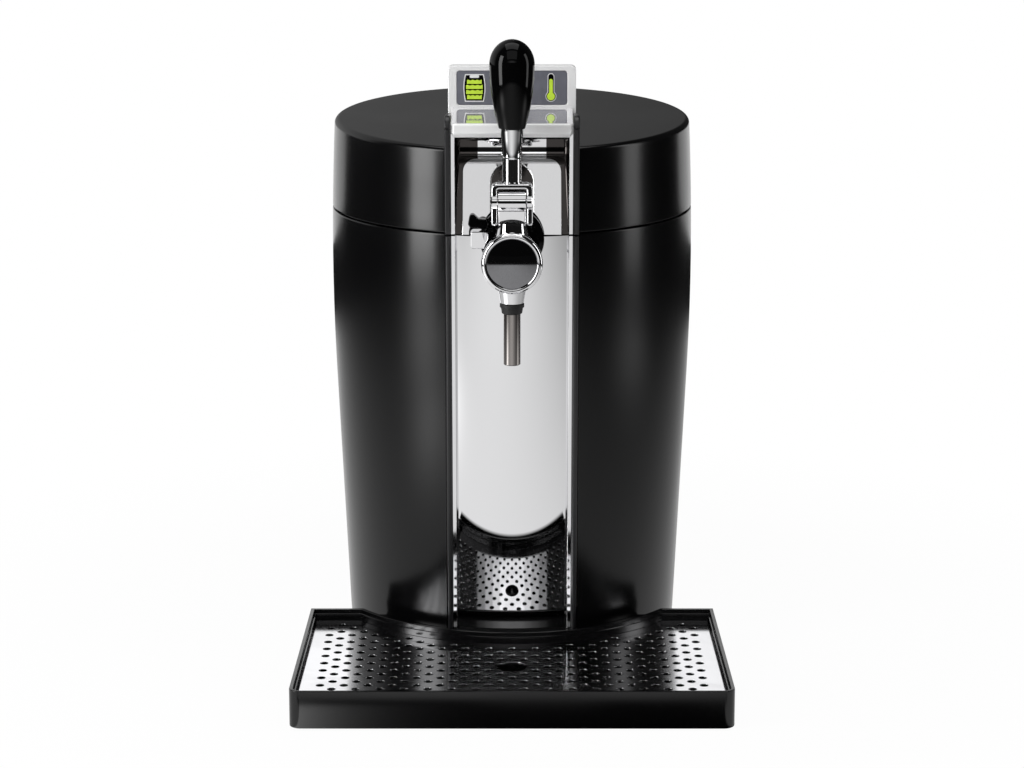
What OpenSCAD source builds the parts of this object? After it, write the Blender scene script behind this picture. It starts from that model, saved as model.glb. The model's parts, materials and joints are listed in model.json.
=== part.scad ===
// Mini keg beer dispenser: a barrel body with a cooled keg well, a hinged lid that
// carries a lever tap and a small display, and a drip tray that slides off the front.
// Millimetres. Every piece is drawn about the upright axis of the keg well, with the
// front towards -Y, and on_footprint() sets it over the middle of the whole footprint.

/* [Body] */
// Radius of the barrel body at its waist
body_r = 138; // [134:0.5:142]
// Height of the waist above the table
waist_z = 290; // [275:1:305]
// Radius of the barrel's upright curve
barrel_arc = 1956; // [1500:1:3000]
// Height below which the barrel wall runs straight
straight_z = 200; // [170:1:230]
// Wall of the two outer shells
shell_t = 2.5; // [2:0.1:3]
// Height of the seam between the housing and the lid
seam_z = 328.4; // [324:0.1:332]
// Gap that shows at the seam
seam_gap = 1.2; // [0.8:0.1:1.6]
// Width of the slot in the front of both shells
slot_w = 98; // [96:0.5:100]

/* [Base] */
// How far the toe that the drip tray hugs stands out past the waist
toe_lip = 1.3; // [0:0.1:1.6]
// Height of the top of the toe, which the column stands on
toe_top_z = 24; // [22:0.5:26]
// Distance from the well's axis to the back ends of the toe
toe_back = 84; // [80:0.5:90]
// Wall and floor of the base pan
base_t = 3; // [2:0.1:4]
// Height of the rubber feet that shows
foot_h = 4; // [3:0.5:5]
// Radius of a rubber foot
foot_r = 11; // [8:0.5:14]
// Distance of the feet from the well's axis, sideways
foot_x = 76; // [65:1:80]
// Height of the rim that centres the barrel shell on the base
locating_h = 12; // [8:0.5:14]

/* [Column] */
// Distance from the well's axis to the foot of the mirror panel
panel_reach = 119.5; // [117:0.1:121]
// Forward lean of the column in degrees
column_lean = 4; // [3:0.1:4.6]
// Radius of the crown across the mirror panel
panel_crown_r = 135; // [120:1:220]
// Thickness of the mirror panel
panel_t = 2; // [1.5:0.1:2.5]
// Width of a side rail
rail_w = 5.1; // [4:0.1:6]
// Depth of a side rail from front to back
rail_depth = 24; // [20:0.5:26]
// Width of the bright bead beside a rail
bead_w = 2.2; // [1.5:0.1:3]
// How far the rails stand in front of the panel's edges
rail_proud = 5; // [4:0.1:5.5]
// How far the beads stand in front of the panel's edges
bead_proud = 2.7; // [1.5:0.1:3.2]
// Thickness of the plate behind the mirror panel
back_t = 3; // [2:0.1:4]

/* [Keg well] */
// Inner radius of the keg well
well_r = 88; // [86:0.5:90]
// Wall of the keg well
well_t = 1.5; // [1:0.1:2]
// Height of the top of the well's floor
well_floor_z = 37.5; // [36:0.5:39]
// Height of the deck that the well hangs in
deck_z = 321; // [318:0.5:323]
// Thickness of the deck
deck_t = 3; // [2:0.1:4]
// Width of the well's top flange
flange_w = 8; // [6:0.5:10]
// Room between the waist of the barrel and the insulation round the well
jacket_room = 20; // [18:1:28]

/* [Lid] */
// Height of the flat top over the well's axis
lid_top_z = 396.5; // [392:0.1:400]
// Slope of the top towards the front in degrees
lid_tilt = 2.24; // [1.5:0.01:3]
// Rounding of the top edge
lid_edge_r = 4; // [2:0.5:6]
// Height of the underside of the liner
liner_z = 331; // [330.5:0.1:332]
// Thickness of the liner
liner_t = 2.5; // [2:0.1:3]
// Height of the liner's dome over the keg
dome_z = 376; // [370:1:380]
// Inner radius of the liner's dome
dome_r = 86; // [80:1:88]
// Inner radius of the gasket
gasket_r = 100; // [98:0.5:102]
// Width of the gasket
gasket_w = 8; // [6:0.5:10]

/* [Niche and display] */
// Backward lean of the niche's rear wall in degrees
niche_lean = 25; // [22:0.5:28]
// Radius of the hollow at the top of the niche
niche_r = 15.7; // [13:0.1:18]
// Height of the underside of the nose
nose_z = 404; // [402:0.5:406]
// Thickness of the chrome sheet
niche_t = 2; // [1.5:0.1:2.3]
// Height of the shelf in front of the display
shelf_z = 412.7; // [411:0.1:415]
// Distance from the well's axis to the tip of the nose
nose_reach = 145; // [143:0.5:148]
// Distance from the well's axis to the front of the bezel
bezel_reach = 87; // [85:0.5:90]
// Width of the bezel
bezel_w = 94; // [92:0.5:95]
// Thickness of the bezel
bezel_t = 8; // [7:0.5:9]
// Height of the top of the bezel
bezel_top_z = 445.5; // [443:0.5:448]
// Rounding of the bezel's corners
bezel_corner_r = 3.5; // [2:0.5:5]
// Width of the display window
window_w = 81; // [78:0.5:83]
// Height of the display window
window_h = 25; // [23:0.5:26]
// Height that the cheeks rise above the shelf
cheek_rise = 3.3; // [2:0.1:5]
// How far the cheeks' tops fall towards the display
cheek_fall = 5.5; // [4:0.1:7]

/* [Tap] */
// Height of the shank's axis
tap_z = 326.5; // [325:0.1:328]
// Radius of the shank
shank_r = 10; // [9:0.1:10.5]
// Radius of the collar on the column
collar_r = 23.4; // [22:0.1:24.5]
// Thickness of the collar
collar_t = 5; // [4:0.1:6]
// Drop of the tap head's axis below the shank's
head_drop = 10; // [8:0.1:11]
// Radius of the tap head's barrel
head_r = 20; // [19:0.1:20.5]
// Length of the tap head's barrel
head_l = 34; // [32:0.5:36]
// Radius of the chrome ring on the front
ring_r = 22; // [21:0.1:22.5]
// Length of the chrome ring
ring_l = 7; // [6:0.1:8]
// Radius of the black disc in the ring
cap_r = 18; // [17:0.1:19]
// Distance of the lever's pivot in front of the collar
pivot_reach = 18; // [17:0.5:19]
// Height of the lever's pivot above the shank's axis
pivot_rise = 31.5; // [30.5:0.1:33]
// Radius of the knuckle at the pivot
knuckle_r = 8.5; // [8:0.1:8.8]
// Width of the knuckle
knuckle_w = 20.6; // [19:0.1:21]
// Radius of the pivot pin
pin_r = 3; // [2.5:0.1:3.5]
// Distance of the spout's axis in front of the collar
spout_reach = 23.4; // [22:0.1:24]
// Radius of the spout cone at its top
cone_r = 10.4; // [10:0.1:11]
// Height of the bottom of the spout cone
cone_end_z = 285; // [284:0.1:287]
// Radius of the rubber seal at its top
seal_r = 8.5; // [8.2:0.1:9]
// Height of the bottom of the rubber seal
seal_end_z = 277.4; // [276:0.1:279]
// Radius of the spout tube
spout_r = 6.2; // [5.8:0.1:6.5]
// Bore of the spout tube
spout_bore_r = 5; // [4.5:0.1:5.2]
// Height of the end of the spout tube
spout_end_z = 239.8; // [235:0.1:245]

/* [Lever] */
// Width over the yoke's ears
yoke_w = 29.8; // [29:0.1:31]
// Gap between the yoke's ears and the knuckle, each side
yoke_gap = 0.3; // [0.2:0.1:0.4]
// Depth of the yoke from front to back
yoke_depth = 12; // [11:0.5:13]
// Reach of the ears below the pivot
ear_drop = 17; // [15:0.5:17.5]
// Height of the yoke's top above the pivot
yoke_rise = 13.5; // [12.5:0.1:14.5]
// Thickness of the bridge between the ears
bridge_t = 4.4; // [4.1:0.1:5]
// Radius of the stem's lower part
stem_r = 6.85; // [6.4:0.05:7.2]
// Radius of the stem under the knob
stem_top_r = 8.5; // [8:0.1:9]
// Length of the stem's lower part
stem_low_l = 18.5; // [16:0.5:22]
// Length of the stem's flared part
stem_flare_l = 20.5; // [18:0.5:22]
// Radius of the knob at its foot
knob_foot_r = 9.75; // [9.2:0.05:10.5]
// Largest radius of the knob
knob_r = 16.1; // [15:0.1:17.5]
// Length of the knob's tapered part
knob_taper_l = 45.5; // [43:0.5:48]
// Height of the knob's domed top
knob_dome_h = 18; // [16:0.5:20]

/* [Drip tray] */
// Width of the tray
tray_w = 315; // [305:1:325]
// Distance from the well's axis to the tray's front
tray_reach = 277; // [270:1:285]
// Distance from the well's axis to the tray's straight back edge
tray_back = 82; // [78:1:86]
// Height of the tray's rim
tray_h = 28.2; // [27:0.1:30]
// Wall of the tray
tray_wall = 3.5; // [3:0.1:4.5]
// Floor of the tray
tray_floor_t = 2.5; // [2:0.1:3]
// Rounding of the tray's front corners
tray_corner_r = 8; // [6:0.5:10]
// Gap between the toe and the tray's hollow back edge
tray_gap = 0.7; // [0.6:0.1:1.7]
// Depth of the grid's face below the rim
grid_drop = 8.7; // [7:0.1:9.5]
// Thickness of the grid
grid_t = 1.2; // [1:0.1:1.5]
// Radius of a drain hole
drain_r = 3; // [2.5:0.1:3.3]
// Spacing of the drain holes' columns
drain_pitch_x = 8.6; // [8.4:0.1:9.5]
// Spacing of the drain holes' rows
drain_pitch_y = 8.3; // [8.2:0.1:9.5]
// Radius of the finger hole
finger_r = 10.75; // [9.5:0.05:11]
// Distance from the well's axis to the finger hole
finger_reach = 196.3; // [190:0.1:200]

/* [Rear housing] */
// Distance from the well's axis to the rearmost face
rear_reach = 213; // [208:1:218]
// Width of the rear housing
rear_w = 190; // [184:1:196]
// Height of the rear housing's top
rear_top_z = 318; // [314:1:320]
// Rounding of the rear housing's upright corners
rear_corner_r = 22; // [16:1:28]
// Width of the rear grille
grille_w = 120; // [110:1:126]
// Height of the rear grille
grille_h = 110; // [104:1:120]
// Height of the fan's axis
fan_z = 200; // [190:1:210]
// Outer size of the fan frame
fan_w = 92; // [88:1:96]
// Depth of the fan frame
fan_depth = 25; // [22:1:26]
// Number of fan blades
fan_blades = 7; // [5:1:9]
// Width of the heat sink
sink_w = 100; // [94:1:102]
// Length of the heat sink's fins
fin_l = 29; // [26:1:31]
// Number of fins
fin_count = 15; // [11:1:17]

/* [Hinge] */
// Distance of the lid's hinge pin behind the waist of the body
hinge_gap = 8; // [7.5:0.5:12]
// Height of the hinge pin
hinge_z = 331; // [329:0.5:333]
// Radius of the hinge pin
hinge_pin_r = 3; // [2.5:0.1:3.5]
// Distance of the hinge arms from the middle
hinge_x = 52; // [45:1:60]

/* [Hidden] */
$fn = 96;

// Clearance between pieces that move past each other, and between pieces that seat
fit = 0.3;
seat = 0.1;
// Longer than any piece, for cuts that run right through
far = 500;
// Overlap of a cut past the face it opens
past = 1;

// --- places worked out from the sizes above
axis_y = (tray_reach - rear_reach) / 2;
shell_foot_z = foot_h + base_t + seat;
shell_top_z = seam_z - seam_gap / 2;
lid_bottom_z = seam_z + seam_gap / 2;
rail_out = slot_w / 2 - fit;
rail_in = rail_out - rail_w;
bead_out = rail_in - seat;
bead_in = bead_out - bead_w;
panel_half = bead_in - seat;
// Fall of the crowned panel from its middle to its edges
panel_fall = panel_crown_r - sqrt(panel_crown_r * panel_crown_r - panel_half * panel_half);
rail_face = panel_fall - rail_proud;
bead_face = panel_fall - bead_proud;
back_face = panel_fall + panel_t + seat;
rear_face = rear_reach - 2;
flange_z = deck_z + well_t;

// Tap, from the column's face at the shank
collar_back = lean_y(tap_z) - 0.4;
collar_front = collar_back - collar_t;
head_z = tap_z - head_drop;
head_front = collar_front - head_l;
ring_front = head_front - ring_l;
pivot_y = collar_front - pivot_reach;
pivot_z = tap_z + pivot_rise;
spout_y = collar_front - spout_reach;
shank_end = collar_back + 33;
line_r = 3.5;
line_bend_r = 12;
yoke_in = knuckle_w / 2 + yoke_gap;
yoke_top_z = pivot_z + yoke_rise;
knob_z = yoke_top_z + stem_low_l + stem_flare_l;

// Pinch plunger in its bore
plunger_r = 4;
chamber_r = 7;
chamber_z = head_z + 1.5;
chamber_top_z = chamber_z + 16;
plunger_top_z = pivot_z - pin_r - 8;
plunger_lift = 3;
spring_turns = 5;
spring_wire_r = 0.6;

// Release catch on the collar
catch_x = -21;
catch_z = tap_z + 12.5;
catch_guard_h = 13;
catch_hub_r = 4.2;
catch_reach = 10.5;
catch_pin_r = 1.5;
catch_l = 9;

hinge_reach = body_r + hinge_gap;
toe_r = body_r + toe_lip;
tray_arc_r = toe_r + tray_gap;
jacket_r = body_r - jacket_room;

// Cooling unit, from the well outwards to the rear
cold_w = 56;
cold_y = well_r + well_t + seat;
cold_back = jacket_r + 2;
peltier_w = 40;
peltier_t = 3.8;
sink_y = cold_back + peltier_t + 2 * seat;
sink_base_t = 7;
fan_y = sink_y + sink_base_t + fin_l + fit;

// Rear wall fittings
socket_x = 62;
socket_z = 62;
socket_w = 30;
socket_h = 24;
rear_t = 2.5;
switch_w = 20;
board_z = 32;
board_y = body_r + 8;
board_half = 56;
board_d = 52;
board_inset = 6;

// Base, well and tray fittings
foot_inset = 35;
foot_places = [for (x = [-foot_x, foot_x], y = [-toe_back + 4, rear_reach - foot_inset]) [x, y]];
ring_rib_r = 63;
tongue_places = [-60, 60];
tongue_reach = toe_r + 3.5;
well_top = deck_z + seat - well_floor_z + well_t;
probe_z = 120;
probe_r = 3;
tray_foot = 2;
grid_top_z = tray_h - grid_drop;
grid_ledge = 3;

// Radius of the spout tube inside the seal
spout_neck_r = spout_r - 0.4;

// Latch, between the gasket and the shell
latch_x = 98;
latch_y = -78;
latch_r = 6;
latch_h = 12;
latch_post_r = 3.4;

// Hinge, display and beer line
hinge_hub_r = 7;
hinge_plate_t = 8;
bracket_x = hinge_x - hinge_plate_t / 2 - fit - hinge_plate_t;
pod_back = -bezel_reach + bezel_t;
window_z = (shelf_z + bezel_top_z) / 2;
line_start = shank_end - 12;
coupler_z = 292;

// --- curves
// Radius of the barrel's curved part at a height
function arc_r(z) = body_r - barrel_arc + sqrt(barrel_arc * barrel_arc - pow(z - waist_z, 2));
// Fall of the radius for each millimetre of height in the straight part
straight_slope = (waist_z - straight_z)
    / sqrt(barrel_arc * barrel_arc - pow(waist_z - straight_z, 2));
function barrel_r(z) = z >= straight_z ? arc_r(z)
    : arc_r(straight_z) - (straight_z - z) * straight_slope;
// Heights at which the barrel's outline turns
function barrel_steps(z0, z1) =
    let (a = max(z0, straight_z), n = z1 > straight_z ? ceil((z1 - a) / 22) : 0)
    concat(z0 < straight_z ? [z0] : [],
        z1 > straight_z ? [for (i = [0:n]) a + (z1 - a) * i / n] : [z1]);
// Y of the column's face at a height, and a distance behind it
function lean_y(z, behind = 0) = -panel_reach - (z - toe_top_z) * tan(column_lean)
    + behind / cos(column_lean);
// Height of the lid's sloping top at a Y
function lid_z(y) = seam_z + (lid_top_z - seam_z) / cos(lid_tilt) + y * tan(lid_tilt);
// Points of an arc about [cx, cy]
function arc(cx, cy, r, a0, a1, n) =
    [for (i = [0:n]) let (a = a0 + (a1 - a0) * i / n) [cx + r * cos(a), cy + r * sin(a)]];
function reversed(list) = [for (i = [len(list) - 1:-1:0]) list[i]];

// Niche wall: up and back along the lean, then round and forward under the nose
niche_foot_y = lean_y(lid_bottom_z, bead_face + 0.8);
niche_turn_z = nose_z - niche_r * (1 + sin(niche_lean));
niche_turn_y = niche_foot_y + (niche_turn_z - lid_bottom_z) * tan(niche_lean);
niche_centre_y = niche_turn_y - niche_r * cos(niche_lean);
niche_centre_z = nose_z - niche_r;
function niche_curve(t) = concat([[niche_foot_y + t / cos(niche_lean), lid_bottom_z]],
    arc(niche_centre_y, niche_centre_z, niche_r + t, -niche_lean, 90, 10));

// --- shared modules
module on_footprint() translate([0, axis_y, 0]) children();

// Child drawn in X and Y, standing on the plane at y and growing towards the front
module facing_front(y, z = 0, x = 0) translate([x, y, z]) rotate([90, 0, 0]) children();

// Child drawn along Z, laid along +X from x
module along_x(x, y, z) translate([x, y, z]) rotate([0, 90, 0]) children();

// Profile drawn in Y and Z, extruded across X about the middle
module across(w) rotate([90, 0, 90]) linear_extrude(w, center = true) children();

module rounded_square(x0, y0, x1, y1, r) {
    translate([x0 + r, y0]) square([x1 - x0 - 2 * r, y1 - y0]);
    translate([x0, y0 + r]) square([x1 - x0, y1 - y0 - 2 * r]);
    for (x = [x0 + r, x1 - r], y = [y0 + r, y1 - r]) translate([x, y]) circle(r);
}

module block(x0, y0, z0, x1, y1, z1) translate([x0, y0, z0]) cube([x1 - x0, y1 - y0, z1 - z0]);

module between(z0, z1) intersection() {
    children();
    block(-far, -far, z0, far, far, z1);
}

module both_sides() {
    children();
    mirror([1, 0, 0]) children();
}

// Solid barrel between two heights, drawn in from the outer face
module barrel(z0, z1, inset = 0) rotate_extrude() polygon(concat([[0, z0]],
    [for (z = barrel_steps(z0, z1)) [barrel_r(z) - inset, z]], [[0, z1]]));

// Solid lid with its sloping top and rounded edge, drawn in from the outer face
module lid_solid(inset, z0) {
    top = lid_top_z - inset;
    r = max(lid_edge_r - inset, 0.5);
    rim = barrel_r(top - r) - inset;
    between(z0, far) translate([0, 0, seam_z]) rotate([lid_tilt, 0, 0]) translate([0, 0, -seam_z])
        rotate_extrude() polygon(concat([[0, seam_z - 12]],
            [for (z = barrel_steps(seam_z - 12, top - r)) [barrel_r(z) - inset, z]],
            arc(rim - r, top - r, r, 15, 90, 5), [[0, top]]));
}

// Sets a child at the foot of the column and leans it forward
module leaning() translate([0, -panel_reach, toe_top_z]) rotate([column_lean, 0, 0]) children();

// Upright leaning prism with a plan outline, cut level at both ends
module leaning_prism(z0, z1) between(z0, z1)
    leaning() translate([0, 0, -20]) linear_extrude(z1 - toe_top_z + 40) children();

// Plan outline of the toe in front of the barrel
module toe_outline(inset = 0) intersection() {
    circle(toe_r - inset);
    translate([-far, -far]) square([2 * far, far - toe_back - inset]);
}

// Plan outline of the base pan and what stands on it at the rear
module footprint(inset = 0) {
    circle(barrel_r(foot_h) - inset);
    rounded_square(-rear_w / 2 + inset, 0, rear_w / 2 - inset, rear_face - inset,
        rear_corner_r - inset);
}

// Bore for the shank, across both halves of the front
module shank_cut(clear) facing_front(0, tap_z) cylinder(r = shank_r + clear, h = far);

// --- housing
module base_plate() color("#17181a") difference() {
    locating_r = barrel_r(shell_foot_z) - shell_t - seat;
    union() {
        translate([0, 0, foot_h]) linear_extrude(base_t) {
            footprint();
            toe_outline();
        }
        // Rim inside the barrel shell, and the rim that the rear housing stands on
        translate([0, 0, foot_h]) linear_extrude(base_t + locating_h) difference() {
            circle(locating_r);
            circle(locating_r - base_t);
        }
        translate([0, 0, foot_h]) linear_extrude(toe_top_z - foot_h) difference() {
            footprint();
            footprint(base_t);
            circle(barrel_r(toe_top_z) + fit);
        }
        // Toe: an outer wall, an inner wall behind it and a top that carries the column
        translate([0, 0, foot_h]) linear_extrude(toe_top_z - foot_h) difference() {
            toe_outline();
            toe_outline(base_t);
            circle(barrel_r(toe_top_z) + fit);
        }
        translate([0, 0, toe_top_z - base_t]) linear_extrude(base_t) difference() {
            toe_outline();
            circle(barrel_r(toe_top_z) + fit);
        }
        block(-rail_out, -barrel_r(toe_top_z) - 2, toe_top_z - base_t, rail_out, -locating_r + 32, toe_top_z);
        for (x = [-rail_out + 8, rail_out - 8]) block(x - 2, -locating_r + 5, foot_h, x + 2,
            -locating_r + 30, toe_top_z - 1);
        // Ring that carries the keg well, and posts for the power board
        translate([0, 0, foot_h]) linear_extrude(well_floor_z - well_t - seat - foot_h) difference() {
            circle(ring_rib_r);
            circle(ring_rib_r - base_t);
        }
        for (x = [-board_half + board_inset, board_half - board_inset],
            y = [board_y + board_inset, board_y + board_d - board_inset]) translate([x, y, foot_h])
            cylinder(r = 3.5, h = board_z - foot_h - seat);
        // Tongues that hold the drip tray
        tray_tongues(0);
    }
    for (p = foot_places) translate([p[0], p[1], foot_h - past]) cylinder(r = foot_r + seat, h = past + 1);
    for (p = foot_places) translate([p[0], p[1], foot_h]) cylinder(r = 2.1, h = far / 10);
    // Air intake under the heat sink
    for (i = [-5:5]) block(i * 9 - 2.5, body_r + 2, 0, i * 9 + 2.5, body_r + 24, foot_h + base_t + past);
}

// Two tongues in front of the toe, or with a clearance the sockets that take them
module tray_tongues(clear) for (x = tongue_places) intersection() {
    block(x - 8 - clear, -far, foot_h + 3 - clear, x + 8 + clear, -toe_r + 22, foot_h + 8 + clear);
    cylinder(r = tongue_reach + clear, h = far);
}

module rubber_feet() color("#101010") for (p = foot_places) translate([p[0], p[1], 0]) difference() {
    union() {
        cylinder(r1 = foot_r - 1, r2 = foot_r, h = 1.5);
        translate([0, 0, 1.5]) cylinder(r = foot_r, h = foot_h + 1 - 1.5 - seat);
    }
    translate([0, 0, -past]) cylinder(r = 4.6, h = past + 2.2);
    cylinder(r = 2.1, h = far / 10);
}

module base_screws() color("#9a9da0") for (p = foot_places) translate([p[0], p[1], 0]) {
    translate([0, 0, 0.6]) cylinder(r = 4, h = 1.5);
    translate([0, 0, 2.1]) cylinder(r = 2, h = locating_h);
}

module drum_shell() color("#1b1c1e") difference() {
    barrel(shell_foot_z, shell_top_z);
    barrel(shell_foot_z - past, shell_top_z + past, shell_t);
    block(-slot_w / 2, -far, 0, slot_w / 2, 0, far);
    // Window for the cooling unit
    block(-sink_w / 2 - 3, 0, fan_z - sink_w / 2 - 3, sink_w / 2 + 3, far, fan_z + sink_w / 2 + 3);
}

module rail_outline() {
    r = 2;
    rounded_square(rail_in, rail_face, rail_out, rail_face + rail_depth, r);
    translate([rail_in, rail_face + rail_depth / 2]) square([rail_w, rail_depth / 2]);
}

module column_frame() color("#3a3b3d") difference() {
    leaning_prism(toe_top_z + seat, shell_top_z) {
        both_sides() rail_outline();
        translate([-rail_in - past, back_face]) square([2 * (rail_in + past), back_t]);
    }
    shank_cut(1);
    block(-shank_r - 1, -far, tap_z, shank_r + 1, 0, far);
}

module column_beads() color("#e6e7e8") leaning_prism(toe_top_z + seat, shell_top_z) both_sides() {
    translate([bead_in, bead_face + bead_w / 2]) square([bead_w, back_face - seat - bead_face - bead_w / 2]);
    translate([bead_in + bead_w / 2, bead_face + bead_w / 2]) circle(bead_w / 2);
}

module column_panel() color("#f2f3f4") difference() {
    leaning_prism(toe_top_z + seat, shell_top_z) intersection() {
        translate([0, panel_crown_r]) difference() {
            circle(panel_crown_r, $fn = 360);
            circle(panel_crown_r - panel_t, $fn = 360);
        }
        translate([-panel_half, -past]) square([2 * panel_half, panel_fall + panel_t + past]);
    }
    shank_cut(1);
    block(-shank_r - 1, -far, tap_z, shank_r + 1, 0, far);
}

// Zone that the column takes out of the rings behind it
module column_zone(z0, z1) block(-slot_w / 2, -far, z0, slot_w / 2,
    lean_y(toe_top_z, rail_face + rail_depth) + 1, z1);

module rim_deck() color("#202124") difference() {
    barrel(deck_z - deck_t, deck_z, shell_t + 2 * seat);
    translate([0, 0, deck_z - deck_t - past]) cylinder(r = well_r + well_t + seat, h = deck_t + 2 * past);
    column_zone(0, far);
    both_sides() translate([latch_x, latch_y, 0]) cylinder(r = latch_r + seat, h = far);
}

module keg_well() color("#c9ccd0") translate([0, 0, well_floor_z - well_t]) {
    rotate_extrude() polygon([[0, 0], [well_r + well_t, 0], [well_r + well_t, well_top],
        [well_r + flange_w, well_top], [well_r + flange_w, well_top + well_t], [well_r, well_top + well_t],
        [well_r, well_t], [0, well_t]]);
}

module insulation_jacket() color("#e9e4cf") difference() {
    translate([0, 0, well_floor_z]) cylinder(r = jacket_r, h = deck_z - deck_t - seat - well_floor_z);
    cylinder(r = well_r + well_t + seat, h = far);
    column_zone(0, far);
    block(-cold_w / 2 - seat, 0, fan_z - cold_w / 2 - seat, cold_w / 2 + seat, far,
        fan_z + cold_w / 2 + seat);
    along_x(-far, 0, probe_z) cylinder(r = probe_r + seat, h = far);
}

module rear_shape(inset) intersection() {
    linear_extrude(rear_top_z - inset) rounded_square(-rear_w / 2 + inset, 60, rear_w / 2 - inset,
        rear_face - inset, rear_corner_r - inset);
    across(rear_w) rounded_square(-far, -far, rear_face - inset, rear_top_z - inset, 14 - inset);
}

module rear_housing() color("#1b1c1e") difference() {
    between(toe_top_z + seat, far) rear_shape(0);
    between(0, far) rear_shape(rear_t);
    barrel(0, rear_top_z + past, -fit);
    // Grille window, inlet, switch and side slots
    block(-grille_w / 2, rear_face - 10, fan_z - grille_h / 2, grille_w / 2, far, fan_z + grille_h / 2);
    block(socket_x - socket_w / 2 + 2, rear_face - 10, socket_z - socket_h / 2 + 2,
        socket_x + socket_w / 2 - 2, far, socket_z + socket_h / 2 - 2);
    block(-socket_x - switch_w / 2 + 2, rear_face - 10, socket_z - socket_h / 2 + 2,
        -socket_x + switch_w / 2 - 2, far, socket_z + socket_h / 2 - 2);
    for (i = [0:8]) block(-far, 150, fan_z - 42 + i * 10, far, rear_face - rear_corner_r,
        fan_z - 38 + i * 10);
}

module rear_grille() color("#151617") {
    grille_pitch = 7.5;
    difference() {
        block(-grille_w / 2 + seat, rear_face - 3, fan_z - grille_h / 2 + seat, grille_w / 2 - seat,
            rear_face, fan_z + grille_h / 2 - seat);
        block(-grille_w / 2 + 6, rear_face - 10, fan_z - grille_h / 2 + 6, grille_w / 2 - 6,
            rear_face + past, fan_z + grille_h / 2 - 6);
    }
    for (z = [fan_z - grille_h / 2 + 10:grille_pitch:fan_z + grille_h / 2 - 8])
        block(-grille_w / 2 + 5, rear_face - 3, z, grille_w / 2 - 5, rear_face - 0.5, z + 3);
    block(-2.5, rear_face - 3, fan_z - grille_h / 2 + 5, 2.5, rear_face - 0.5, fan_z + grille_h / 2 - 5);
}

module cold_block() color("#b9bcc0") difference() {
    block(-cold_w / 2, 0, fan_z - cold_w / 2, cold_w / 2, cold_back, fan_z + cold_w / 2);
    cylinder(r = cold_y, h = far);
}

module peltier_module() color("#e8e8e4") block(-peltier_w / 2, cold_back + seat, fan_z - peltier_w / 2,
    peltier_w / 2, cold_back + seat + peltier_t, fan_z + peltier_w / 2);

module heat_sink() color("#aeb2b6") {
    fin_t = 1.5;
    block(-sink_w / 2, sink_y, fan_z - sink_w / 2, sink_w / 2, sink_y + sink_base_t, fan_z + sink_w / 2);
    for (i = [0:fin_count - 1]) {
        x = -sink_w / 2 + (sink_w - fin_t) * i / (fin_count - 1);
        block(x, sink_y + sink_base_t - past, fan_z - sink_w / 2, x + fin_t,
            sink_y + sink_base_t + fin_l, fan_z + sink_w / 2);
    }
}

module fan_frame() color("#1a1a1a") {
    bore_r = fan_w / 2 - 2;
    translate([0, fan_y, fan_z]) rotate([-90, 0, 0]) {
        difference() {
            linear_extrude(fan_depth) rounded_square(-fan_w / 2, -fan_w / 2, fan_w / 2, fan_w / 2, 5);
            translate([0, 0, -past]) cylinder(r = bore_r, h = fan_depth + 2 * past);
            for (x = [-1, 1], y = [-1, 1]) translate([x * (fan_w / 2 - 5), y * (fan_w / 2 - 5), -past])
                cylinder(r = 2.2, h = fan_depth + 2 * past);
        }
        translate([0, 0, fan_depth - 3]) difference() {
            union() {
                cylinder(r = 18, h = 3);
                for (a = [45:90:315]) rotate(a) translate([10, -2, 0]) cube([bore_r - 9, 4, 3]);
            }
            translate([0, 0, -past]) cylinder(r = 2.05, h = 3 + 2 * past);
        }
    }
}

module fan_rotor() color("#26282a") translate([0, fan_y, fan_z]) rotate([-90, 0, 0]) {
    hub_r = 17;
    hub_z = 4;
    hub_l = fan_depth - 3 - hub_z;
    blade_chord = 18;
    translate([0, 0, hub_z]) cylinder(r = hub_r, h = hub_l - fit);
    translate([0, 0, hub_z + 1]) cylinder(r = 2, h = hub_l + 1);
    for (i = [0:fan_blades - 1]) rotate(i * 360 / fan_blades)
        translate([hub_r - 1, 0, fan_depth / 2]) rotate([35, 0, 0])
            translate([0, -blade_chord / 2, -0.8]) cube([fan_w / 2 - 2 - hub_r - 2, blade_chord, 1.6]);
}

module power_board() color("#1f6b3a") {
    block(-board_half, board_y, board_z, board_half, board_y + board_d, board_z + 1.6);
    for (x = [-0.75, -0.46] * board_half) translate([x, board_y + board_d - 14, board_z + 1.5])
        cylinder(r = 6, h = 20);
    block(20, board_y + 4, board_z + 1.5, 50, board_y + 10, board_z + 22);
    block(-20, board_y + 4, board_z + 1.5, -4, board_y + 16, board_z + 12);
}

module transformer() color("#5a4a2c") {
    block(2, board_y + 22, board_z + 1.6 + seat, 30, board_y + 48, board_z + 24);
    block(6, board_y + 19, board_z + 6, 26, board_y + 51, board_z + 20);
}

module power_inlet() color("#0e0e0f") difference() {
    union() {
        block(socket_x - socket_w / 2, rear_face + seat, socket_z - socket_h / 2, socket_x + socket_w / 2,
            rear_reach, socket_z + socket_h / 2);
        block(socket_x - socket_w / 2 + 2.2, rear_face - 18, socket_z - socket_h / 2 + 2.2,
            socket_x + socket_w / 2 - 2.2, rear_face + 0.5, socket_z + socket_h / 2 - 2.2);
    }
    block(socket_x - socket_w / 2 + 4, rear_face - 15, socket_z - socket_h / 2 + 4,
        socket_x + socket_w / 2 - 4, far, socket_z + socket_h / 2 - 4);
}

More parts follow.
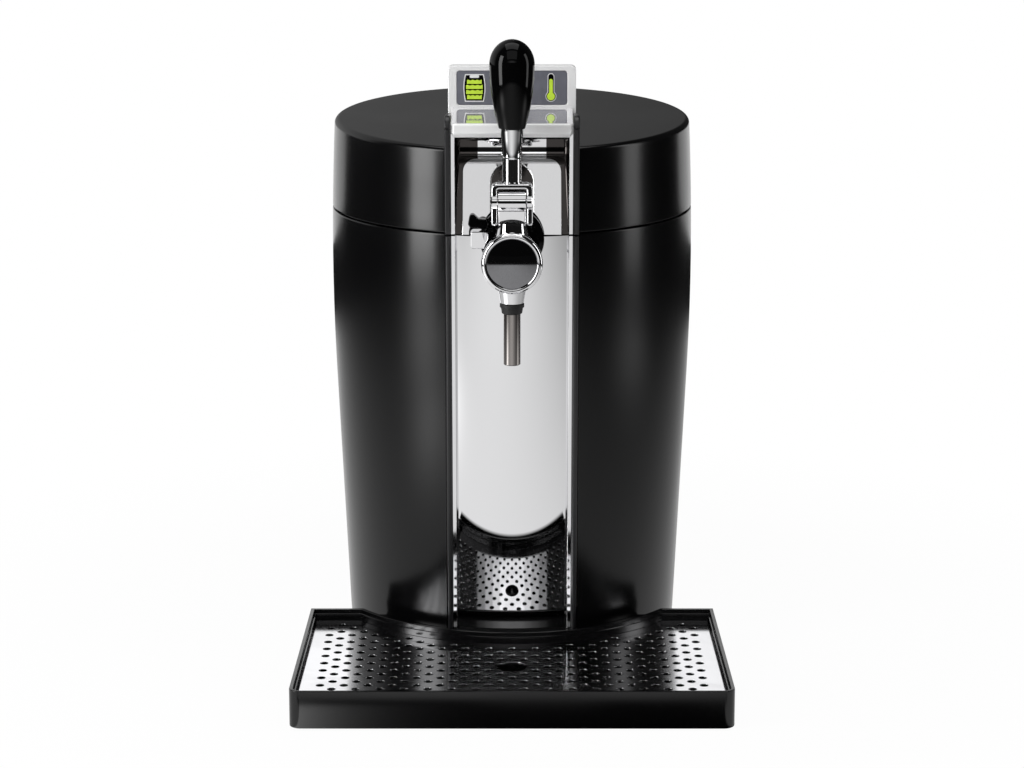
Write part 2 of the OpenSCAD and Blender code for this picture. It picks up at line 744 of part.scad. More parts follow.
module switch_body() color("#0e0e0f") difference() {
    union() {
        block(-socket_x - switch_w / 2, rear_face + seat, socket_z - socket_h / 2,
            -socket_x + switch_w / 2, rear_reach - 0.5, socket_z + socket_h / 2);
        block(-socket_x - switch_w / 2 + 2.2, rear_face - 18, socket_z - socket_h / 2 + 2.2,
            -socket_x + switch_w / 2 - 2.2, rear_face + 0.5, socket_z + socket_h / 2 - 2.2);
    }
    block(-socket_x - switch_w / 2 + 4, rear_face - 15, socket_z - socket_h / 2 + 4,
        -socket_x + switch_w / 2 - 4, far, socket_z + socket_h / 2 - 4);
}

// Rocker: a low wedge about a cross pivot, its upper half pressed in
module switch_rocker() color("#202020") {
    half_w = switch_w / 2 - 4.3;
    half_h = socket_h / 2 - 4.9;
    pivot = rear_face - 5;
    translate([-socket_x, 0, 0]) intersection() {
        across(2 * half_w) polygon([[pivot - 3, socket_z - half_h + 1.5],
            [rear_reach - 0.6, socket_z - half_h], [rear_face - 0.8, socket_z],
            [rear_face - 1.6, socket_z + half_h], [pivot - 3, socket_z + half_h - 1.5]]);
        across(2 * half_w) translate([pivot, socket_z]) circle(r = 8.2);
    }
}

module temperature_probe() color("#c0c3c6") along_x(-jacket_r + 2, 0, probe_z)
    cylinder(r = probe_r, h = jacket_r - 2 - well_r - well_t - seat);

module hinge_brackets() color("#2b2c2e") difference() {
    both_sides() {
        along_x(bracket_x, hinge_reach, hinge_z) cylinder(r = hinge_hub_r, h = hinge_plate_t);
        block(bracket_x, hinge_reach - hinge_hub_r, rear_top_z + seat, bracket_x + hinge_plate_t,
            hinge_reach + hinge_hub_r, hinge_z);
        block(bracket_x - 6, hinge_reach - hinge_hub_r + 1.5, rear_top_z + seat,
            bracket_x + hinge_plate_t, hinge_reach + 20, rear_top_z + 3);
    }
    along_x(-far, hinge_reach, hinge_z) cylinder(r = hinge_pin_r + 0.05, h = 2 * far);
}

module hinge_pin() color("#b7babd") along_x(-hinge_x - 8, hinge_reach, hinge_z) {
    cylinder(r = hinge_pin_r, h = 2 * hinge_x + 16);
    translate([0, 0, -1.5]) cylinder(r = hinge_pin_r + 1.5, h = 1.5);
}

module latch_socket() color("#232427") both_sides() translate([latch_x, latch_y, deck_z - latch_h])
    difference() {
        cylinder(r = latch_r, h = latch_h);
        translate([0, 0, 2]) cylinder(r = latch_post_r + 1, h = latch_h);
    }

// --- lid
module lid_front_cut(half, back) block(-half, -far, 0, half, back, far);

module lid_shell() color("#1b1c1e") difference() {
    lid_solid(0, lid_bottom_z);
    lid_solid(shell_t, lid_bottom_z - past);
    lid_front_cut(slot_w / 2, pod_back + seat);
}

module lid_liner() color("#2a2b2d") difference() {
    union() {
        translate([0, 0, liner_z]) intersection() {
            cylinder(r = far, h = liner_t);
            translate([0, 0, -liner_z]) lid_solid(shell_t + seat, lid_bottom_z);
        }
        translate([0, 0, liner_z]) cylinder(r = dome_r + liner_t, h = dome_z - liner_z);
    }
    translate([0, 0, liner_z - past]) cylinder(r = dome_r, h = dome_z - liner_t - liner_z + past);
    lid_front_cut(slot_w / 2 + seat, lean_y(lid_bottom_z, rail_face + rail_depth) + 8);
}

module lid_foam() color("#ece7d3") difference() {
    lid_solid(shell_t + fit, liner_z + liner_t + seat);
    translate([0, 0, liner_z]) cylinder(r = dome_r + liner_t + seat, h = dome_z - liner_z + seat);
    lid_front_cut(slot_w / 2 + seat, pod_back + fit);
}

module lid_gasket() color("#3c3d3f") difference() {
    translate([0, 0, deck_z + fit]) cylinder(r = gasket_r + gasket_w, h = liner_z - seat - deck_z - fit);
    cylinder(r = gasket_r, h = far);
    // Passage for the beer line and the shank
    lid_front_cut(line_r + fit, 0);
    translate([0, 0, deck_z + 1]) cylinder(r = gasket_r + gasket_w - 2.5, h = 4);
}

module hinge_arms() color("#2b2c2e") difference() {
    both_sides() {
        x0 = hinge_x - hinge_plate_t / 2;
        along_x(x0, hinge_reach, hinge_z) cylinder(r = hinge_hub_r, h = hinge_plate_t);
        block(x0, body_r - 38, lid_bottom_z + 0.6, x0 + hinge_plate_t, hinge_reach, hinge_z + hinge_hub_r);
        block(x0 - 3, body_r - 38, lid_bottom_z + 0.6, x0 + hinge_plate_t + 3, body_r - 5,
            hinge_z + hinge_hub_r + 8);
    }
    lid_solid(-seat, lid_bottom_z - past);
    along_x(-far, hinge_reach, hinge_z) cylinder(r = hinge_pin_r + 0.05, h = 2 * far);
}

module latch_post() color("#2a2b2d") both_sides() translate([latch_x, latch_y, 0]) {
    translate([0, 0, deck_z - 6]) cylinder(r = latch_post_r, h = liner_z - seat - deck_z + 6);
    translate([0, 0, deck_z - 8]) cylinder(r1 = latch_post_r - 1.2, r2 = latch_post_r, h = 2);
}

// Dark cheeks that carry the rails on over the lid and round the nose
module front_cheeks() color("#2d2e30") {
    top = shelf_z + cheek_rise;
    r = 9;
    front = lean_y(top, rail_face);
    back = -bezel_reach - seat;
    both_sides() translate([(rail_in + rail_out) / 2, 0, 0]) across(rail_w) polygon(concat(
        [[lean_y(lid_bottom_z, rail_face), lid_bottom_z], [lean_y(top - r, rail_face), top - r]],
        arc(front + r, top - r, r, 180, 90, 6),
        [[back, top - cheek_fall], [back, lid_z(back) - 6],
        [lean_y(lid_bottom_z, rail_face + rail_depth), lid_bottom_z]]));
}

module niche_sheet() across(2 * bead_in) polygon(concat(niche_curve(0), reversed(niche_curve(niche_t))));

module niche_side() polygon(concat([[lean_y(lid_bottom_z, bead_face), lid_bottom_z],
    [lean_y(nose_z, bead_face), nose_z - seat], [niche_centre_y, nose_z - seat]],
    reversed(niche_curve(niche_t))));

module tap_niche() color("#d9dadc") difference() {
    union() {
        niche_sheet();
        for (s = [-1, 1]) translate([s * (bead_in + bead_w / 2), 0, 0]) across(bead_w) niche_side();
        // Raised plate on the rear wall, round-cornered at its top
        between(lid_bottom_z, far) translate([0, niche_foot_y, lid_bottom_z]) rotate([-niche_lean, 0, 0])
            translate([0, 0.5, 0]) rotate([90, 0, 0]) linear_extrude(1.2) plate_outline();
    }
    shank_cut(seat);
    facing_front(collar_back + 3, tap_z) cylinder(r = collar_r + fit, h = far);
}

module plate_outline() {
    half = panel_half - 5;
    top = (niche_turn_z - lid_bottom_z) / cos(niche_lean) - 1;
    r = 10;
    arch_r = yoke_w / 2 + 0.5;
    difference() {
        union() {
            translate([-half, -10]) square([2 * half, top - r + 10]);
            translate([-half + r, 0]) square([2 * (half - r), top]);
            for (x = [-half + r, half - r]) translate([x, top - r]) circle(r);
        }
        // Recess behind the lever
        translate([-arch_r, -20]) square([2 * arch_r, top - 3 - arch_r + 20]);
        translate([0, top - 3 - arch_r]) circle(arch_r);
    }
}

// Chrome nose and mirror shelf in front of the display
module display_nose() color("#eceded") {
    nose_back = niche_centre_y - seat;
    chamfer = 2.5;
    half = rail_in - seat;
    translate([0, 0, nose_z]) linear_extrude(shelf_z - nose_z) polygon([[-half, nose_back],
        [-half, -nose_reach + chamfer], [-half + chamfer, -nose_reach], [half - chamfer, -nose_reach],
        [half, -nose_reach + chamfer], [half, nose_back]]);
    block(-half, nose_back - past, shelf_z - 3, half, -bezel_reach - seat, shelf_z);
}

// Flat outline of the bezel or the window, facing the front
module bezel_outline(w, h, r) rounded_square(-w / 2, -h / 2, w / 2, h / 2, r);

module display_bezel() color("#f0f1f1") {
    foot_z = lid_z(-bezel_reach) - 6;
    mid = (foot_z + bezel_top_z) / 2;
    difference() {
        facing_front(pod_back, mid) linear_extrude(bezel_t)
            bezel_outline(bezel_w, bezel_top_z - foot_z, bezel_corner_r);
        facing_front(-bezel_reach + 1.8, window_z) linear_extrude(far)
            bezel_outline(window_w + 2 * seat, window_h + 2 * seat, 2);
        facing_front(0, window_z) linear_extrude(far) bezel_outline(window_w - 8, window_h - 5, 1);
        facing_front(0, window_z) linear_extrude(-pod_back + bezel_t - 4)
            bezel_outline(window_w + 3, window_h + 3, 1);
    }
}

module display_window() color("#85888c") facing_front(-bezel_reach + 1.7, window_z)
    linear_extrude(1.4) bezel_outline(window_w, window_h, 2);

// Keg on the left, thermometer on the right
module display_symbols() color("#b4cd3c") facing_front(-bezel_reach + 0.25, window_z) linear_extrude(0.4) {
    translate([-window_w / 3, 0]) scale(window_h / 25) {
        for (i = [-2:2]) translate([-5 + abs(i) * 0.5, i * 3 - 1]) square([10 - abs(i), 2]);
        difference() {
            bezel_outline(15, 20, 2.5);
            bezel_outline(12.6, 17.6, 1.6);
        }
    }
    translate([window_w * 0.352, 0]) scale(window_h / 25) {
        translate([0, -5]) circle(3.2);
        translate([-1.3, -5]) square([2.6, 14]);
        for (i = [0:2]) translate([2.2, 1 + i * 3]) square([2.4, 1]);
    }
}

module display_board() color("#1f6b3a") facing_front(pod_back - 1.2, window_z)
    linear_extrude(1.6) bezel_outline(window_w + 2.6, window_h + 2.6, 1);

module display_cover() color("#1b1c1e") difference() {
    front = pod_back + seat;
    depth = 44;
    across(bezel_w - 6) polygon(concat([[front, lid_z(front) + seat], [front, bezel_top_z - 1.5]],
        arc(front + 7, bezel_top_z - 8.5, 7, 90, 35, 4),
        [[front + depth, lid_z(front + depth) + 2], [front + depth, lid_z(front + depth) + seat]]));
    facing_front(front + 2 * past, window_z) linear_extrude(3 * past)
        bezel_outline(window_w + 3, window_h + 3, 1);
}

// --- tap
module tap_collar() color("#2c2d30") difference() {
    union() {
        facing_front(collar_back, tap_z) cylinder(r = collar_r, h = collar_t - 1.5);
        facing_front(collar_front + 1.5, tap_z) cylinder(r1 = collar_r, r2 = collar_r - 1.5, h = 1.5);
        // Ear and lower guard of the release catch
        facing_front(collar_back, catch_z, catch_x) cylinder(r = catch_hub_r, h = collar_t - 1);
        block(catch_x - 4, collar_front + 1, tap_z + 2, catch_x, collar_back, catch_z);
        difference() {
            block(catch_x - catch_reach + 1.5, collar_front - catch_l + 1, catch_z - 5 - catch_guard_h,
                catch_x + 4, collar_back, catch_z - 5);
            facing_front(collar_front, head_z) cylinder(r = head_r + fit, h = far);
        }
    }
    shank_cut(seat);
    facing_front(0, catch_z, catch_x) cylinder(r = catch_pin_r + 0.02, h = far);
}

module tap_shank() color("#c4c6c8") difference() {
    union() {
        facing_front(shank_end, tap_z) cylinder(r = shank_r, h = shank_end - collar_front - seat);
        facing_front(shank_end - 4, tap_z) cylinder(r = shank_r + 4, h = 8, $fn = 6);
    }
    facing_front(shank_end + past, tap_z) cylinder(r = line_r + seat, h = 14);
    facing_front(0, tap_z) cylinder(r = 2.4, h = far);
}

module tap_body() color("#dcdddf") difference() {
    union() {
        facing_front(collar_front, head_z) cylinder(r = head_r, h = head_l);
        // Neck up to the knuckle, with a flare where it leaves the head
        block(-knuckle_w / 2, pivot_y - knuckle_r, head_z, knuckle_w / 2, pivot_y + knuckle_r, pivot_z);
        along_x(-knuckle_w / 2, pivot_y, pivot_z) cylinder(r = knuckle_r, h = knuckle_w);
        translate([0, pivot_y, head_z + head_r - 6]) cylinder(r1 = head_r - 4, r2 = knuckle_w / 2, h = 11);
        // Spout cone under the head
        translate([0, spout_y, cone_end_z])
            cylinder(r1 = seal_r, r2 = cone_r, h = head_z - head_r - cone_end_z + 3);
    }
    along_x(-far, pivot_y, pivot_z) cylinder(r = pin_r + 0.02, h = 2 * far);
    translate([0, pivot_y, chamber_z]) cylinder(r = chamber_r, h = chamber_top_z - chamber_z);
    translate([0, pivot_y, chamber_top_z - past]) cylinder(r = plunger_r + 0.05, h = pivot_z - chamber_top_z);
    translate([0, pivot_y, head_z - 8]) cylinder(r = plunger_r + 0.05, h = 12);
    // Beer passage, level from the shank and then down the spout
    facing_front(0, head_z + 6) cylinder(r = 2, h = -pivot_y);
    translate([0, spout_y, cone_end_z - past]) cylinder(r = spout_bore_r - 1.5, h = head_z - 12 - cone_end_z);
}

module tap_ring() color("#e4e5e6") facing_front(head_front - seat, head_z) rotate_extrude()
    difference() {
        union() {
            square([ring_r - 1.5, ring_l - seat]);
            translate([0, 1.5]) square([ring_r, ring_l - 3 - seat]);
            for (z = [1.5, ring_l - 1.5 - seat]) translate([ring_r - 1.5, z]) intersection() {
                circle(1.5, $fn = 48);
                translate([0, -2]) square(4);
            }
        }
        translate([-past, ring_l - 3]) square([cap_r + seat + past, 5]);
    }

module tap_cap() color("#0c0c0e") facing_front(head_front - ring_l + 3 - seat, head_z) {
    cylinder(r = cap_r, h = 2);
    translate([0, 0, 2]) cylinder(r1 = cap_r, r2 = cap_r - 1.2, h = 0.8);
}

module spout_seal() color("#19191b") translate([0, spout_y, seal_end_z]) difference() {
    cylinder(r1 = spout_r + 0.6, r2 = seal_r - 0.2, h = cone_end_z - seat - seal_end_z);
    translate([0, 0, -past]) cylinder(r = spout_neck_r + 0.02, h = far / 10);
}

module spout_tube() color("#b8babc") translate([0, spout_y, spout_end_z]) difference() {
    union() {
        cylinder(r = spout_r, h = seal_end_z - seat - spout_end_z);
        cylinder(r = spout_neck_r, h = cone_end_z - seat - spout_end_z);
    }
    translate([0, 0, -past]) cylinder(r = spout_bore_r, h = far / 5);
}

module beer_line() color("#e8e6dd") difference() {
    line_solid(line_r);
    line_solid(2.3, past);
}

module line_solid(r, extra = 0) {
    facing_front(-line_bend_r, tap_z) cylinder(r = r, h = -line_bend_r - line_start + extra);
    translate([0, -line_bend_r, tap_z - line_bend_r]) rotate([90, 0, 90])
        rotate_extrude(angle = 90) translate([line_bend_r, 0]) circle(r, $fn = 48);
    translate([0, 0, tap_z - line_bend_r - 4 - extra]) cylinder(r = r, h = 4 + extra);
}

module keg_coupler() color("#4a4c50") translate([0, 0, coupler_z]) difference() {
    union() {
        cylinder(r = 14, h = 8);
        translate([0, 0, 8]) cylinder(r1 = 11, r2 = 8, h = 4);
        cylinder(r = 7, h = tap_z - line_bend_r - coupler_z);
    }
    translate([0, 0, -past]) cylinder(r = 2.3, h = far / 10);
    translate([0, 0, tap_z - line_bend_r - coupler_z - 4 - seat]) cylinder(r = line_r + 0.05, h = far / 10);
}

module pivot_pin() color("#f0f0f0") {
    along_x(-yoke_w / 2 - 0.2, pivot_y, pivot_z) cylinder(r = pin_r, h = yoke_w + 0.4);
}

module catch_pin() color("#d0d2d4") facing_front(collar_back, catch_z, catch_x) {
    cylinder(r = catch_pin_r, h = collar_t + catch_l);
    translate([0, 0, collar_t + catch_l - 0.6]) cylinder(r = catch_pin_r + 1, h = 1.2);
}

// Thumb tab on a hub, with a hollow for the thumb
module release_catch() color("#131416") difference() {
    facing_front(collar_front - fit, catch_z, catch_x) difference() {
        union() {
            cylinder(r = catch_hub_r, h = catch_l - 1);
            linear_extrude(catch_l - 1) {
                translate([-catch_reach + 3, -1]) square([catch_reach - 3, catch_hub_r + 1]);
                translate([-catch_reach + 3, catch_hub_r - 3.2]) circle(3.2);
                translate([-catch_reach + 3, catch_hub_r + 1.5]) circle(2.2);
            }
        }
        translate([0, 0, -past]) cylinder(r = catch_pin_r + 0.05, h = catch_l + past);
    }
}

// --- lever
module lever_yoke() color("#d6d7d9") difference() {
    union() {
        both_sides() {
            ear_t = yoke_w / 2 - yoke_in;
            along_x(yoke_in, pivot_y, pivot_z) cylinder(r = yoke_depth / 2 + 1.5, h = ear_t);
            along_x(yoke_in, pivot_y, pivot_z - ear_drop + yoke_depth / 2)
                cylinder(r = yoke_depth / 2, h = ear_t);
            block(yoke_in, pivot_y - yoke_depth / 2, pivot_z - ear_drop + yoke_depth / 2, yoke_w / 2,
                pivot_y + yoke_depth / 2, yoke_top_z - 4);
        }
        translate([0, pivot_y + yoke_depth / 2, yoke_top_z - bridge_t]) rotate([90, 0, 0])
            linear_extrude(yoke_depth) {
                translate([-yoke_w / 2 + 4, 0]) square([yoke_w - 8, bridge_t]);
                translate([-yoke_w / 2, 0]) square([yoke_w, bridge_t - 4]);
                for (x = [-1, 1]) translate([x * (yoke_w / 2 - 4), bridge_t - 4]) circle(4);
            }
    }
    along_x(-far, pivot_y, pivot_z) cylinder(r = pin_r + 0.05, h = 2 * far);
    along_x(-yoke_in, pivot_y, pivot_z) cylinder(r = knuckle_r + 0.6, h = 2 * yoke_in);
}

module lever_stem() color("#dedfe1") translate([0, pivot_y, yoke_top_z + seat / 2]) {
    cylinder(r = stem_r, h = stem_low_l);
    translate([0, 0, stem_low_l - 0.8]) cylinder(r = stem_r + 0.35, h = 1.2);
    translate([0, 0, stem_low_l]) cylinder(r1 = stem_r, r2 = stem_top_r, h = stem_flare_l - seat);
}

module lever_knob() color("#0b0b0d") translate([0, pivot_y, knob_z]) rotate_extrude() polygon(concat(
    [[0, 0], [knob_foot_r - 0.8, 0]],
    [for (i = [0:12]) let (t = 1 - i / 12)
        [knob_foot_r + (knob_r - knob_foot_r) * (1 - t * t), 0.8 + (knob_taper_l - 0.8) * i / 12]],
    [for (a = [10:10:80]) [knob_r * cos(a), knob_taper_l + knob_dome_h * sin(a)]],
    [[0, knob_taper_l + knob_dome_h]]));

module pinch_plunger() color("#e2e2dc") translate([0, pivot_y, 0]) {
    translate([0, 0, head_z - 4]) cylinder(r = plunger_r, h = plunger_top_z - head_z + 4);
    translate([0, 0, chamber_z + 0.2]) cylinder(r = chamber_r - 0.5, h = 1.6);
    translate([0, 0, head_z - 6]) cylinder(r1 = 2.5, r2 = plunger_r, h = 2.1);
}

// Coil spring between the plunger's collar and the roof of its chamber
module pinch_spring() color("#c8cacc") {
    foot = chamber_z + 2 + spring_wire_r;
    length = chamber_top_z - fit - foot - spring_wire_r;
    radius = plunger_r + 0.4 + spring_wire_r;
    sides = 6;
    steps = spring_turns * 12;
    points = [for (i = [0:steps], k = [0:sides - 1]) let (a = 30 * i, b = 360 * k / sides,
        r = radius + spring_wire_r * cos(b))
        [r * cos(a), r * sin(a), foot + length * i / steps + spring_wire_r * sin(b)]];
    walls = [for (i = [0:steps - 1], k = [0:sides - 1], t = [0, 1]) let (n = (k + 1) % sides, p = i * sides)
        t == 0 ? [p + k, p + sides + k, p + n] : [p + n, p + sides + k, p + sides + n]];
    caps = [[for (k = [0:sides - 1]) k], [for (k = [sides - 1:-1:0]) steps * sides + k]];
    translate([0, pivot_y, 0]) polyhedron(points, concat(walls, caps));
}

// --- drip tray
module tray_outline(inset) difference() {
    union() {
        rounded_square(-tray_w / 2 + inset, -tray_reach + inset, tray_w / 2 - inset, -tray_back - inset,
            tray_corner_r - inset);
        translate([-tray_w / 2 + inset, -tray_back - 30]) square([tray_w - 2 * inset, 30 - inset]);
    }
    circle(tray_arc_r + inset);
}

module drip_tray() color("#16171a") difference() {
    union() {
        translate([0, 0, tray_foot]) linear_extrude(tray_h - tray_foot) tray_outline(0);
        for (x = [-1, 1], y = [-tray_reach + 20, -tray_back - 16])
            translate([x * (tray_w / 2 - 16), y, 0]) cylinder(r = 7, h = tray_foot + 1);
    }
    translate([0, 0, grid_top_z - grid_t - seat]) linear_extrude(far) tray_outline(tray_wall);
    translate([0, 0, tray_foot + tray_floor_t]) linear_extrude(far)
        tray_outline(tray_wall + grid_ledge);
    tray_tongues(fit);
}

module drain_holes() {
    margin = 12 + drain_r;
    columns = floor((tray_w / 2 - tray_wall - margin) / drain_pitch_x);
    first = -ceil((finger_reach - tray_back) / drain_pitch_y);
    last = floor((tray_reach - tray_wall - margin - finger_reach) / drain_pitch_y);
    for (i = [-columns:columns], k = [first:last]) {
        x = i * drain_pitch_x;
        y = -finger_reach - k * drain_pitch_y;
        clear_of_finger = norm([x, y + finger_reach]) > finger_r + drain_r + 1;
        clear_of_arc = norm([x, y]) > tray_arc_r + tray_wall + drain_r + 4;
        clear_of_back = y < -tray_back - tray_wall - drain_r;
        if (abs(i + k) % 2 == 1 && clear_of_finger && clear_of_arc && clear_of_back)
            translate([x, y]) circle(drain_r, $fn = 24);
    }
}

module drip_grid() color("#c9cbcd") translate([0, 0, grid_top_z - grid_t]) linear_extrude(grid_t)
    difference() {
        tray_outline(tray_wall + fit);
        drain_holes();
        translate([0, -finger_reach]) circle(finger_r);
    }

on_footprint() base_plate();
on_footprint() rubber_feet();
on_footprint() base_screws();
on_footprint() drum_shell();
on_footprint() column_frame();
on_footprint() column_beads();
on_footprint() column_panel();
on_footprint() rim_deck();
on_footprint() keg_well();
on_footprint() insulation_jacket();
on_footprint() rear_housing();
on_footprint() rear_grille();
on_footprint() cold_block();
on_footprint() peltier_module();
on_footprint() heat_sink();
on_footprint() fan_frame();
on_footprint() power_board();
on_footprint() transformer();
on_footprint() power_inlet();
on_footprint() switch_body();
on_footprint() temperature_probe();
on_footprint() hinge_brackets();
on_footprint() hinge_pin();
on_footprint() latch_socket();
on_footprint() lid_shell();
on_footprint() lid_liner();
on_footprint() lid_foam();
on_footprint() lid_gasket();
on_footprint() hinge_arms();
on_footprint() latch_post();
on_footprint() front_cheeks();
on_footprint() tap_niche();
on_footprint() display_nose();
on_footprint() display_bezel();
on_footprint() display_window();
on_footprint() display_symbols();
on_footprint() display_board();
on_footprint() display_cover();
on_footprint() tap_collar();
on_footprint() tap_shank();
on_footprint() tap_body();
on_footprint() tap_ring();
on_footprint() tap_cap();
on_footprint() spout_seal();
on_footprint() spout_tube();
on_footprint() beer_line();
on_footprint() keg_coupler();
on_footprint() pivot_pin();
on_footprint() catch_pin();
on_footprint() release_catch();
on_footprint() lever_yoke();
on_footprint() lever_stem();
on_footprint() lever_knob();
on_footprint() pinch_plunger();
on_footprint() pinch_spring();
on_footprint() drip_tray();
on_footprint() drip_grid();
on_footprint() fan_rotor();
on_footprint() switch_rocker();
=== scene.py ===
"""Looks for the mini keg beer dispenser: its visible pieces, their finishes and a plain studio.

Sizes are in millimetres about the upright axis of the keg well, front towards -Y, as in
the part's source. The function at() turns them into metres in the row frame. The studio's
own sizes are in metres.
"""

from __future__ import annotations

import json
import logging
import math
from dataclasses import dataclass
from enum import Enum
from typing import Callable, Sequence

import bmesh
import bpy
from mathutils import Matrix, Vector

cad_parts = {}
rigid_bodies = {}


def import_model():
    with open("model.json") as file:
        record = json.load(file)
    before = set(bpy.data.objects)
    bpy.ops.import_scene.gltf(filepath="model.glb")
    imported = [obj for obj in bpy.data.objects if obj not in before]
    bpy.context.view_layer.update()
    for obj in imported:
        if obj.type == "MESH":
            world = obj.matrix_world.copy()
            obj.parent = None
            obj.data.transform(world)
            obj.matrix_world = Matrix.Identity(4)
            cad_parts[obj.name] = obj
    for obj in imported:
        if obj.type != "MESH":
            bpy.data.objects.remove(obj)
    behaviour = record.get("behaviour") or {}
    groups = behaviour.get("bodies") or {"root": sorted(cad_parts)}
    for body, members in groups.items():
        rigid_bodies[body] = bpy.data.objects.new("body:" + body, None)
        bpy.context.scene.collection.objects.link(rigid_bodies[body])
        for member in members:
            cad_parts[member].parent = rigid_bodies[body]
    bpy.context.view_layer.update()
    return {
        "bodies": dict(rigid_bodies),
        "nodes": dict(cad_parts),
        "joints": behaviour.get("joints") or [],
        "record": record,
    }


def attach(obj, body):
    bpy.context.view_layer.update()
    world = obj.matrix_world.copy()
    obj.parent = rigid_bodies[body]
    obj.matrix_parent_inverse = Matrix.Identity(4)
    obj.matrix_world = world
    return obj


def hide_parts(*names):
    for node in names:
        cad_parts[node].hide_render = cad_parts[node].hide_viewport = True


LOG = logging.getLogger("dispenser")
Point2 = tuple[float, float]
Triple = tuple[float, float, float]
Obj = bpy.types.Object
Tree = bpy.types.NodeTree
Socket = bpy.types.NodeSocket
AXIS_Y = 32.0
SEAT = 0.1
SHANK_Z = 326.5
SEAM_Z = 328.4
WELD = 0.00002
SMOOTH_BELOW = 32.0


class Axis(Enum):
    """Direction that a turned or drawn piece runs along."""

    X = "x"
    Y = "y"
    Z = "z"


class Grain(Enum):
    """Kind of surface detail a finish has."""

    MOULDED = "moulded"
    POLISHED = "polished"
    BRUSHED = "brushed"
    FOAMED = "foamed"


# --- outlines -----------------------------------------------------------------------------


def sind(angle: float) -> float:
    """Sine of an angle in degrees."""
    return math.sin(math.radians(angle))


def cosd(angle: float) -> float:
    """Cosine of an angle in degrees."""
    return math.cos(math.radians(angle))


def arc(cx: float, cy: float, r: float, a0: float, a1: float, steps: int) -> list[Point2]:
    """Points along an arc.

    Args:
        cx: First coordinate of the centre.
        cy: Second coordinate of the centre.
        r: Radius.
        a0: First angle in degrees.
        a1: Last angle in degrees.
        steps: Number of chords.

    Returns:
        The points from the first angle to the last.
    """
    angles = [a0 + (a1 - a0) * i / steps for i in range(steps + 1)]
    return [(cx + r * cosd(a), cy + r * sind(a)) for a in angles]


def rounded(x0: float, y0: float, x1: float, y1: float, r: float, steps: int = 6) -> list[Point2]:
    """Rounded rectangle, anticlockwise.

    Args:
        x0: Low first coordinate.
        y0: Low second coordinate.
        x1: High first coordinate.
        y1: High second coordinate.
        r: Corner radius.
        steps: Chords in each corner.

    Returns:
        The outline's points.
    """
    corners = [(x1 - r, y1 - r, 0), (x0 + r, y1 - r, 90), (x0 + r, y0 + r, 180), (x1 - r, y0 + r, 270)]
    return [p for cx, cy, a in corners for p in arc(cx, cy, r, a, a + 90, steps)]


@dataclass(frozen=True)
class Barrel:
    """The barrel form that both outer shells share, with their wall and their faces round."""

    waist_r: float = 138.0
    waist_z: float = 290.0
    curve_r: float = 1956.0
    straight_z: float = 200.0
    wall: float = 2.5
    steps: int = 180

    def radius(self, z: float) -> float:
        """Outer radius at a height.

        Args:
            z: Height above the table.

        Returns:
            The radius there.
        """
        rise = max(z, self.straight_z) - self.waist_z
        r = self.waist_r - self.curve_r + math.sqrt(self.curve_r**2 - rise**2)
        if z < self.straight_z:
            run = self.waist_z - self.straight_z
            r -= (self.straight_z - z) * run / math.sqrt(self.curve_r**2 - run**2)
        return r


@dataclass(frozen=True)
class Column:
    """The leaning front column, and the places on it."""

    reach: float = 119.5
    foot_z: float = 24.0
    lean: float = 4.0
    crown_r: float = 135.0
    half: float = 41.2
    rail_in: float = 44.4
    rail_out: float = 48.7
    rail_depth: float = 24.0
    bead_w: float = 3.0
    slot_half: float = 49.0
    top_z: float = 327.8

    @property
    def fall(self) -> float:
        """How far the crowned panel falls from its middle to its edges."""
        return self.crown_r - math.sqrt(self.crown_r**2 - self.half**2)

    @property
    def rail_face(self) -> float:
        """Distance of the rails' front behind the panel's crown."""
        return self.fall - 5.0

    @property
    def bead_face(self) -> float:
        """Distance of the beads' front behind the panel's crown."""
        return self.fall - 2.7

    def y(self, z: float, behind: float = 0.0) -> float:
        """Y of the column's face at a height.

        Args:
            z: Height above the table.
            behind: Distance behind the face.

        Returns:
            The Y there.
        """
        lean = math.radians(self.lean)
        return -self.reach - (z - self.foot_z) * math.tan(lean) + behind / math.cos(lean)


BARREL = Barrel()
COLUMN = Column()


# --- finishes -----------------------------------------------------------------------------


def new_group(name: str, inputs: dict[str, float], outputs: dict[str, str]) -> Tree:
    """Makes an empty shader node group with its sockets.

    Args:
        name: Name of the group.
        inputs: Float inputs and their defaults.
        outputs: Output names and their socket types.

    Returns:
        The group, with one input and one output node.
    """
    group = bpy.data.node_groups.new(name, "ShaderNodeTree")
    for key, value in inputs.items():
        socket = group.interface.new_socket(key, in_out="INPUT", socket_type="NodeSocketFloat")
        socket.default_value = value
    for key, kind in outputs.items():
        group.interface.new_socket(key, in_out="OUTPUT", socket_type=kind)
    group.nodes.new("NodeGroupInput").name = "in"
    group.nodes.new("NodeGroupOutput").name = "out"
    return group


def add_node(tree: Tree, kind: str, values: dict[str, float]) -> bpy.types.Node:
    """Adds a shader node.

    Args:
        tree: Tree that it goes in.
        kind: Its type.
        values: Values of its inputs by name.

    Returns:
        The node.
    """
    node = tree.nodes.new(kind)
    for key, value in values.items():
        node.inputs[key].default_value = value
    return node


